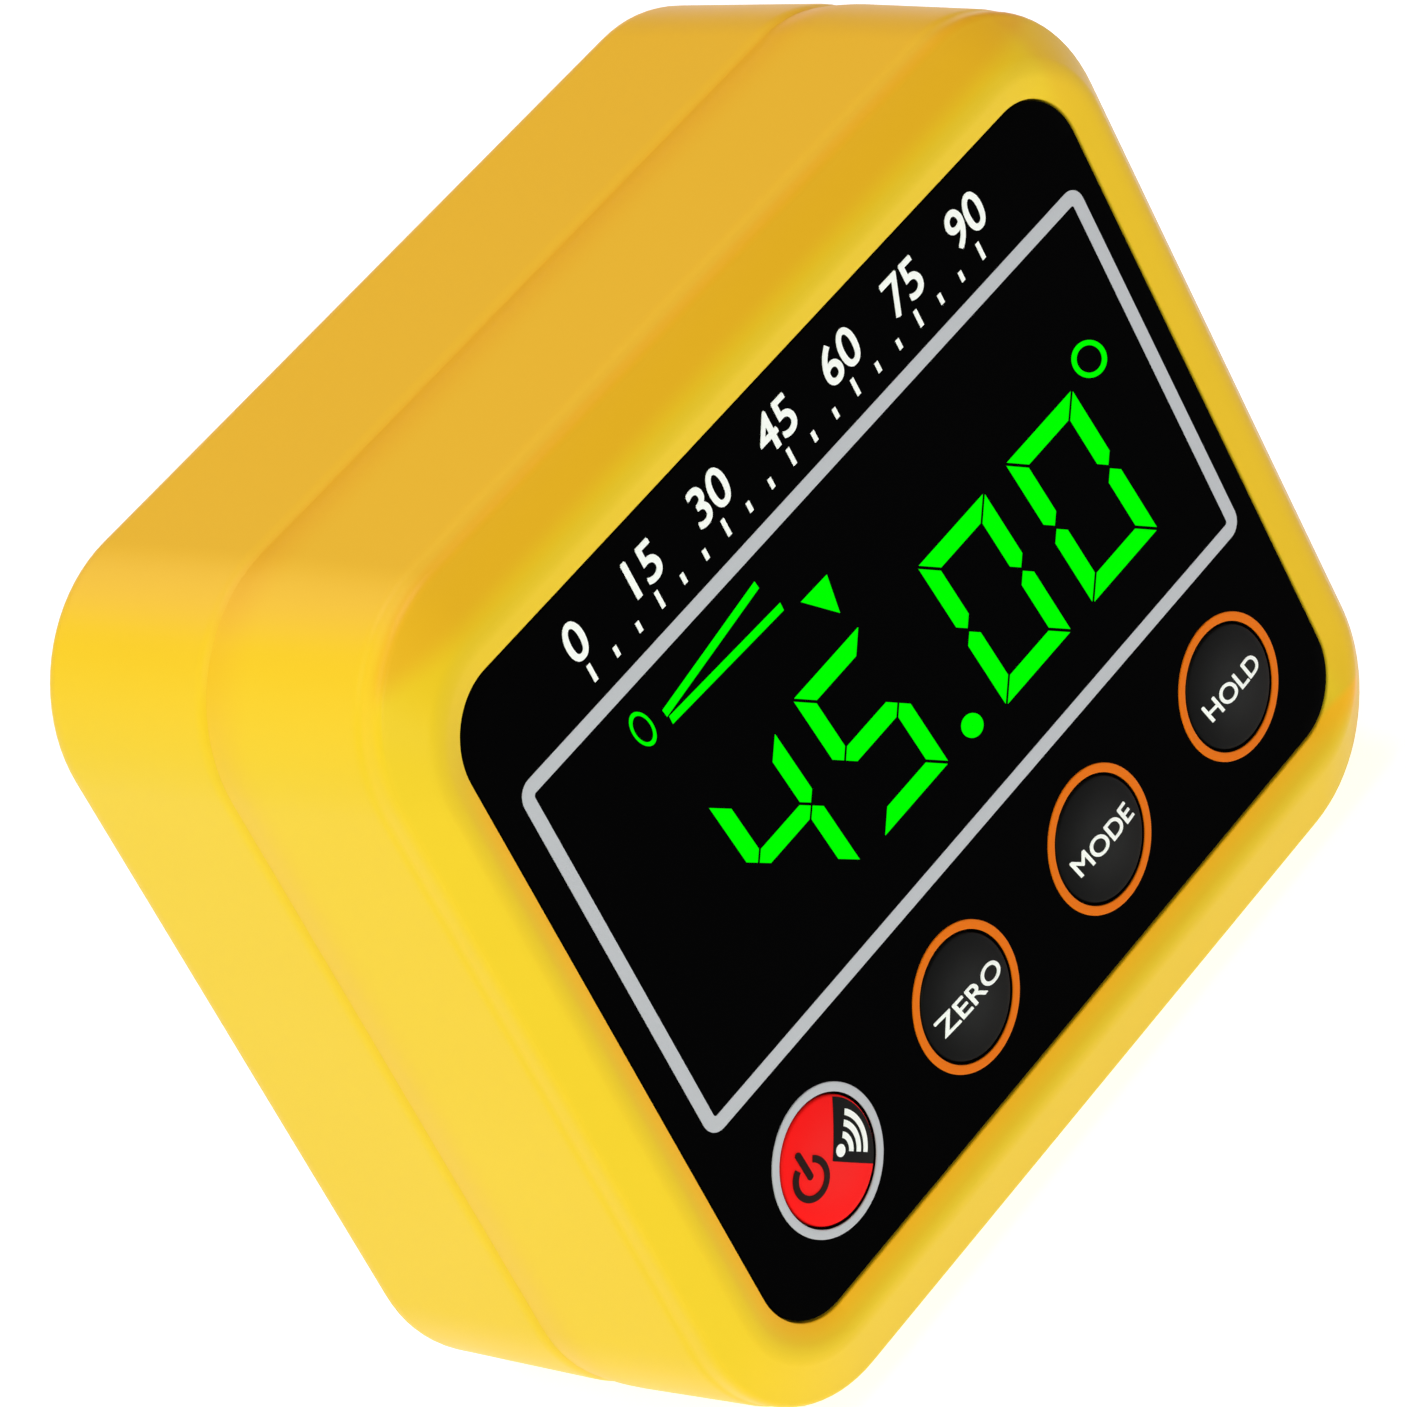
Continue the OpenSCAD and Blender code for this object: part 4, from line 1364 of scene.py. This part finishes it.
class GAUGE_OT_reading(bpy.types.Operator):
    """Lit reading: four seven-bar figures, the point, the degree ring and the angle sign"""

    bl_idname = "gauge.reading"
    bl_label = "Reading"

    def execute(self, context):
        p = context.scene.gauge_face
        eight = seven_bars(*NOMINAL, p.stroke, p.gap)
        lit = [lit_figure(eight, p.stroke, *row) for row in READING]
        bpy.data.objects.remove(eight)
        for place, radii, line, turn in READING_RINGS:
            lit.append(oval(place, radii, p.sign_line * line, turn))
        for start, end in ANGLE_ARMS:
            lit.append(line_between(start, end, ARM_LINE))
        lit.append(pointer())
        reading = inked(joined(lit, "lit_reading"), p.ink)
        seated(reading, "lit_green", "housing")
        return {"FINISHED"}


class GAUGE_OT_keys(bpy.types.Operator):
    """Four crowned keys with their collars, words and power signs"""

    bl_idname = "gauge.keys"
    bl_label = "Keys"

    def execute(self, context):
        keys = context.scene.gauge_keys
        ink = context.scene.gauge_face.ink
        low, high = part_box("power_key")
        top, back, collar = low[1], high[1], (high[0] - low[0]) / 2
        dome = (keys.radius ** 2 + keys.crown ** 2) / (2 * keys.crown)

        def crown(radius):
            return top + dome - math.sqrt(dome ** 2 - radius ** 2)

        rim = keys.radius - keys.edge
        flank, top_ring = 0.5 * MM, rim - 0.2 * MM
        edge = softened([
            ((keys.radius, crown(rim) + flank), 0),
            ((keys.radius, crown(keys.radius)), keys.edge),
            ((top_ring, crown(top_ring)), 0),
        ])
        rings = [(collar, back), (collar, back - keys.collar), (keys.radius, back - keys.collar)]
        crown_rings = (2.6, 2.2, 1.8, 1.4, 1.0, 0.6, 0.25)
        rings += edge + [(r * MM, crown(r * MM)) for r in crown_rings]
        names = [name + "_key_cap" for name in KEY_NAMES]
        first = smoothed(turned(names[0], rings, key_spots()[0], 1, 96), 40)
        for key, name in zip(repeated(first, key_spots(), names), KEY_NAMES):
            node, body = name + "_key", name + "_button"
            if key == first:
                seated(key, "red_key", body, "key_red", node)
                self.power_signs(key, body, key_centre(name), keys, ink)
                continue
            seated(key, "black_key", body, "key_black", node)
            word = lettering(
                name.upper(), keys.word_height, key_centre(name), getattr(keys, name + "_word"),
                lean=keys.word_lean, key=key,
            )
            seated(inked(named(word, name + "_word"), ink), "white_print", body)
        return {"FINISHED"}

    def power_signs(self, key, body, centre, keys, ink):
        """Dark quarter with three arcs and a dot, and the power sign beside it."""
        x, z = centre
        line = keys.sign_line
        margin = 0.12 * MM
        quarter_span, wave_span, sign_span = (-45, 50), (-45, 42), (118, 412)
        quarter = flat_ring(keys.radius - margin, PINHOLE, centre, 144)
        quarter = finely_divided(swept_between(quarter, centre, *quarter_span), 7)
        quarter = inked(laid_on(named(quarter, "power_quarter"), key, QUARTER_LIFT), ink / 2)
        seated(quarter, "black_print", body, "key_black")

        dot = (x + 0.74 * MM, z + 0.07 * MM)
        dot_radius, wave_radii = 0.33 * MM, (0.965 * MM, 1.555 * MM, 2.115 * MM)
        arcs = [flat_ring(dot_radius, PINHOLE, dot, 32)]
        for radius in wave_radii:
            arcs.append(swept_between(flat_ring(radius, radius - line, dot, 96), dot, *wave_span))
        waves = inked(laid_on(joined(arcs, "power_waves"), key, WAVE_LIFT), ink)
        seated(waves, "white_print", body)

        hub = (x - 1.6 * MM, z + 0.24 * MM)
        sign_radius, bar_length = 1.22 * MM, 1.72 * MM
        ring = flat_ring(sign_radius, sign_radius - 1.12 * line, hub, 96)
        ring = swept_between(ring, hub, *sign_span)
        bar = flat_plate((1.2 * line, bar_length), (hub[0], hub[1] + bar_length / 2))
        with editing(bar):
            bpy.ops.mesh.bevel(offset=0.55 * line, segments=6, affect="VERTICES")
        sign = joined([ring, finely_divided(bar, 3)], "power_sign")
        sign = inked(laid_on(sign, key, SIGN_LIFT), ink)
        seated(sign, "brown_print", body)


class GAUGE_OT_base_magnets(bpy.types.Operator):
    """Disc magnets in the base, with turned edges"""

    bl_idname = "gauge.base_magnets"
    bl_label = "Base magnets"

    def execute(self, context):
        nodes = FRONT_MAGNETS + REAR_MAGNETS
        low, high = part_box(nodes[0])
        r = (high[0] - low[0]) / 2
        section = softened([
            ((r - MM, low[2]), 0), ((r, low[2]), 0.25 * MM),
            ((r, high[2]), 0.25 * MM), ((r - MM, high[2]), 0),
        ], 3)
        spots = magnet_spots(nodes)
        names = ["disc_" + node.removeprefix("magnet_") for node in nodes]
        first = smoothed(turned(names[0], section, spots[0], 2, 64), 50)
        for disc, node in zip(repeated(first, spots, names), nodes):
            seated(disc, "magnet_plate", "housing", "magnet_plate", node)
        return {"FINISHED"}


class GAUGE_OT_cells(bpy.types.Operator):
    """Two battery cells: sleeved can with rolled ends and a tip"""

    bl_idname = "gauge.cells"
    bl_label = "Battery cells"

    def execute(self, context):
        low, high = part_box("cell_upper")
        _, y, z = box_middle("cell_upper")
        r = (high[2] - low[2]) / 2
        tip, tip_rise = 1.9 * MM, MM
        start, end = low[0], high[0] - tip_rise
        section = softened([
            ((3.4 * MM, start), 0), ((r - 0.9 * MM, start), 0.3 * MM),
            ((r - 0.8 * MM, start + 0.35 * MM), 0.2 * MM), ((r, start + 0.45 * MM), 0.4 * MM),
            ((r, end), 0.6 * MM), ((r - 1.3 * MM, end), 0.2 * MM),
            ((r - 1.5 * MM, end - 0.25 * MM), 0.2 * MM), ((tip, end - 0.25 * MM), 0.1 * MM),
            ((tip, end + tip_rise), 0.35 * MM), ((0.8 * MM, end + tip_rise), 0),
        ], 4)
        upper = smoothed(turned("cell_upper_can", section, (0, y, z), 0, 72), 50)
        lower = copy_of(upper, "cell_lower_can")
        with editing(lower):
            bpy.ops.transform.rotate(value=math.pi, orient_axis="Z", center_override=(0, y, z))
            bpy.ops.transform.translate(value=(0, 0, box_middle("cell_lower")[2] - z))
        for cell, node in ((upper, "cell_upper"), (lower, "cell_lower")):
            seated(cell, "cell_sleeve", "housing", "cell_sleeve", node)
        return {"FINISHED"}


# Pieces that keep their packed form, by their finish
INNER_PIECES = {
    "board_green": ("circuit_board",),
    "chip_black": ("tilt_sensor", "controller_chip"),
    "led_white": ("backlight_leds",),
    "display_glass": ("display_glass",),
    "foam_black": ("display_gasket",),
    "guide_white": ("light_guide",),
    "strip_rubber": ("contact_strip_upper", "contact_strip_lower"),
    "nickel": (
        "bridge_contact", "bridge_spring", "positive_terminal", "negative_terminal", "negative_spring"
    ),
    "steel": ("housing_screws", "board_screws", *(name + "_switch" for name in KEY_NAMES)),
    "switch_dark": tuple(name + "_plunger" for name in KEY_NAMES),
}


class GAUGE_OT_inner_finishes(bpy.types.Operator):
    """Finishes of the pieces that keep their packed form: board, switches, display parts, contacts, screws"""

    bl_idname = "gauge.inner_finishes"
    bl_label = "Inner finishes"

    def execute(self, context):
        for finish, nodes in INNER_PIECES.items():
            for node in nodes:
                dressed(NODES[node], finish)
        return {"FINISHED"}


# Studio lights: name, place, size, watts and tint
LIGHTS = (
    ("left_front_light", (-0.40, -0.45, 0.30), (0.3, 0.3), 1.92, (0.78, 1, 0.72)),
    ("left_back_light", (-0.42, 0.40, 0.22), (0.3, 0.3), 0.31, (0.92, 1, 1)),
    ("top_light", (0.02, 0.05, 0.62), (0.35, 0.35), 2.28, (1, 0.7, 0.85)),
    ("top_back_light", (0.0, 0.50, 0.42), (0.4, 0.25), 0.42, (1, 1, 1)),
    ("top_left_light", (-0.40, 0.05, 0.50), (0.3, 0.3), 0.93, (0.84, 1, 1)),
)
LIGHT_AIM = (0, 0, 0.026)
FLOOR_SIZE = 6


class GAUGE_OT_stage(bpy.types.Operator):
    """Pale floor, soft studio lights and the camera"""

    bl_idname = "gauge.stage"
    bl_label = "Stage"

    def execute(self, context):
        settings, c = context.scene.gauge_stage, context.scene.gauge_colours
        deselect()
        bpy.ops.mesh.primitive_plane_add(size=FLOOR_SIZE, location=(0, 0, -HAIR))
        floor = settle(named(bpy.context.object, "floor"))
        with editing(floor):
            bpy.ops.mesh.subdivide(number_cuts=3)
            bpy.ops.mesh.region_to_loop()
            bpy.ops.mesh.extrude_region_move(TRANSFORM_OT_translate={"value": (0, 0, settings.floor_edge)})
        f = Finish("pale_floor", {"Roughness": 0.9, "Specular IOR Level": 0.0,
                                  "Emission Color": (1, 1, 1, 1), "Emission Strength": settings.glow})
        f.wear(Base_Color=f.blend(f.noise(0.3, 2), c.floor, shade(c.floor, 0.98)))
        floor.data.materials.append(f.material)

        world = bpy.data.worlds.new("room")
        context.scene.world = world
        world.use_nodes = True
        world.node_tree.nodes["Background"].inputs["Color"].default_value = (1, 1, 1, 1)
        world.node_tree.nodes["Background"].inputs["Strength"].default_value = settings.sky

        for name, place, size, power, tint in LIGHTS:
            deselect()
            bpy.ops.object.light_add(type="AREA", location=place)
            lamp = bpy.context.object
            lamp.name = name
            lamp.data.shape = "RECTANGLE"
            lamp.data.size, lamp.data.size_y = size
            lamp.data.energy = power
            lamp.data.color = tint
            aim = [t - q for t, q in zip(LIGHT_AIM, place)]
            flat = math.hypot(aim[0], aim[1])
            lamp.rotation_euler = (math.atan2(flat, -aim[2]), 0, math.atan2(-aim[0], aim[1]))

        bpy.ops.object.camera_add(location=settings.camera_place, rotation=settings.camera_turn)
        camera = bpy.context.object
        camera.name = "camera"
        camera.data.lens = settings.lens
        camera.data.clip_start, camera.data.clip_end = 0.01, 20
        context.scene.camera = camera
        context.scene.view_settings.view_transform = "Standard"
        return {"FINISHED"}


class GAUGE_PT_panel(bpy.types.Panel):
    """Sizes, colours and steps of the gauge"""

    bl_label = "Angle gauge"
    bl_idname = "GAUGE_PT_panel"
    bl_space_type = "VIEW_3D"
    bl_region_type = "UI"
    bl_category = "Angle gauge"

    def draw(self, context):
        column = self.layout.column()
        for group in GROUPS:
            settings = getattr(context.scene, group)
            column.label(text=type(settings).__name__)
            for key in type(settings).__annotations__:
                column.prop(settings, key)
        for step in STEPS:
            column.operator(step.bl_idname)


GROUPS = {
    "gauge_housing": HousingSizes,
    "gauge_face": FaceSizes,
    "gauge_keys": KeySizes,
    "gauge_colours": FinishColours,
    "gauge_stage": StageSettings,
}
STEPS = (
    GAUGE_OT_front_cover,
    GAUGE_OT_rear_cover,
    GAUGE_OT_battery_door,
    GAUGE_OT_face_panel,
    GAUGE_OT_panel_print,
    GAUGE_OT_reading,
    GAUGE_OT_keys,
    GAUGE_OT_base_magnets,
    GAUGE_OT_cells,
    GAUGE_OT_inner_finishes,
    GAUGE_OT_stage,
)


def register():
    """Registers the classes and the scene's settings."""
    for item in (*GROUPS.values(), *STEPS, GAUGE_PT_panel):
        bpy.utils.register_class(item)
    for name, group in GROUPS.items():
        setattr(bpy.types.Scene, name, bpy.props.PointerProperty(type=group))


def unregister():
    """Takes the settings and the classes away."""
    for name in GROUPS:
        delattr(bpy.types.Scene, name)
    for item in (GAUGE_PT_panel, *reversed(STEPS), *reversed(GROUPS.values())):
        bpy.utils.unregister_class(item)


def main():
    """Builds the whole gauge."""
    register()
    for step in STEPS:
        group, name = step.bl_idname.split(".")
        getattr(getattr(bpy.ops, group), name)()


if __name__ == "__main__":
    main()
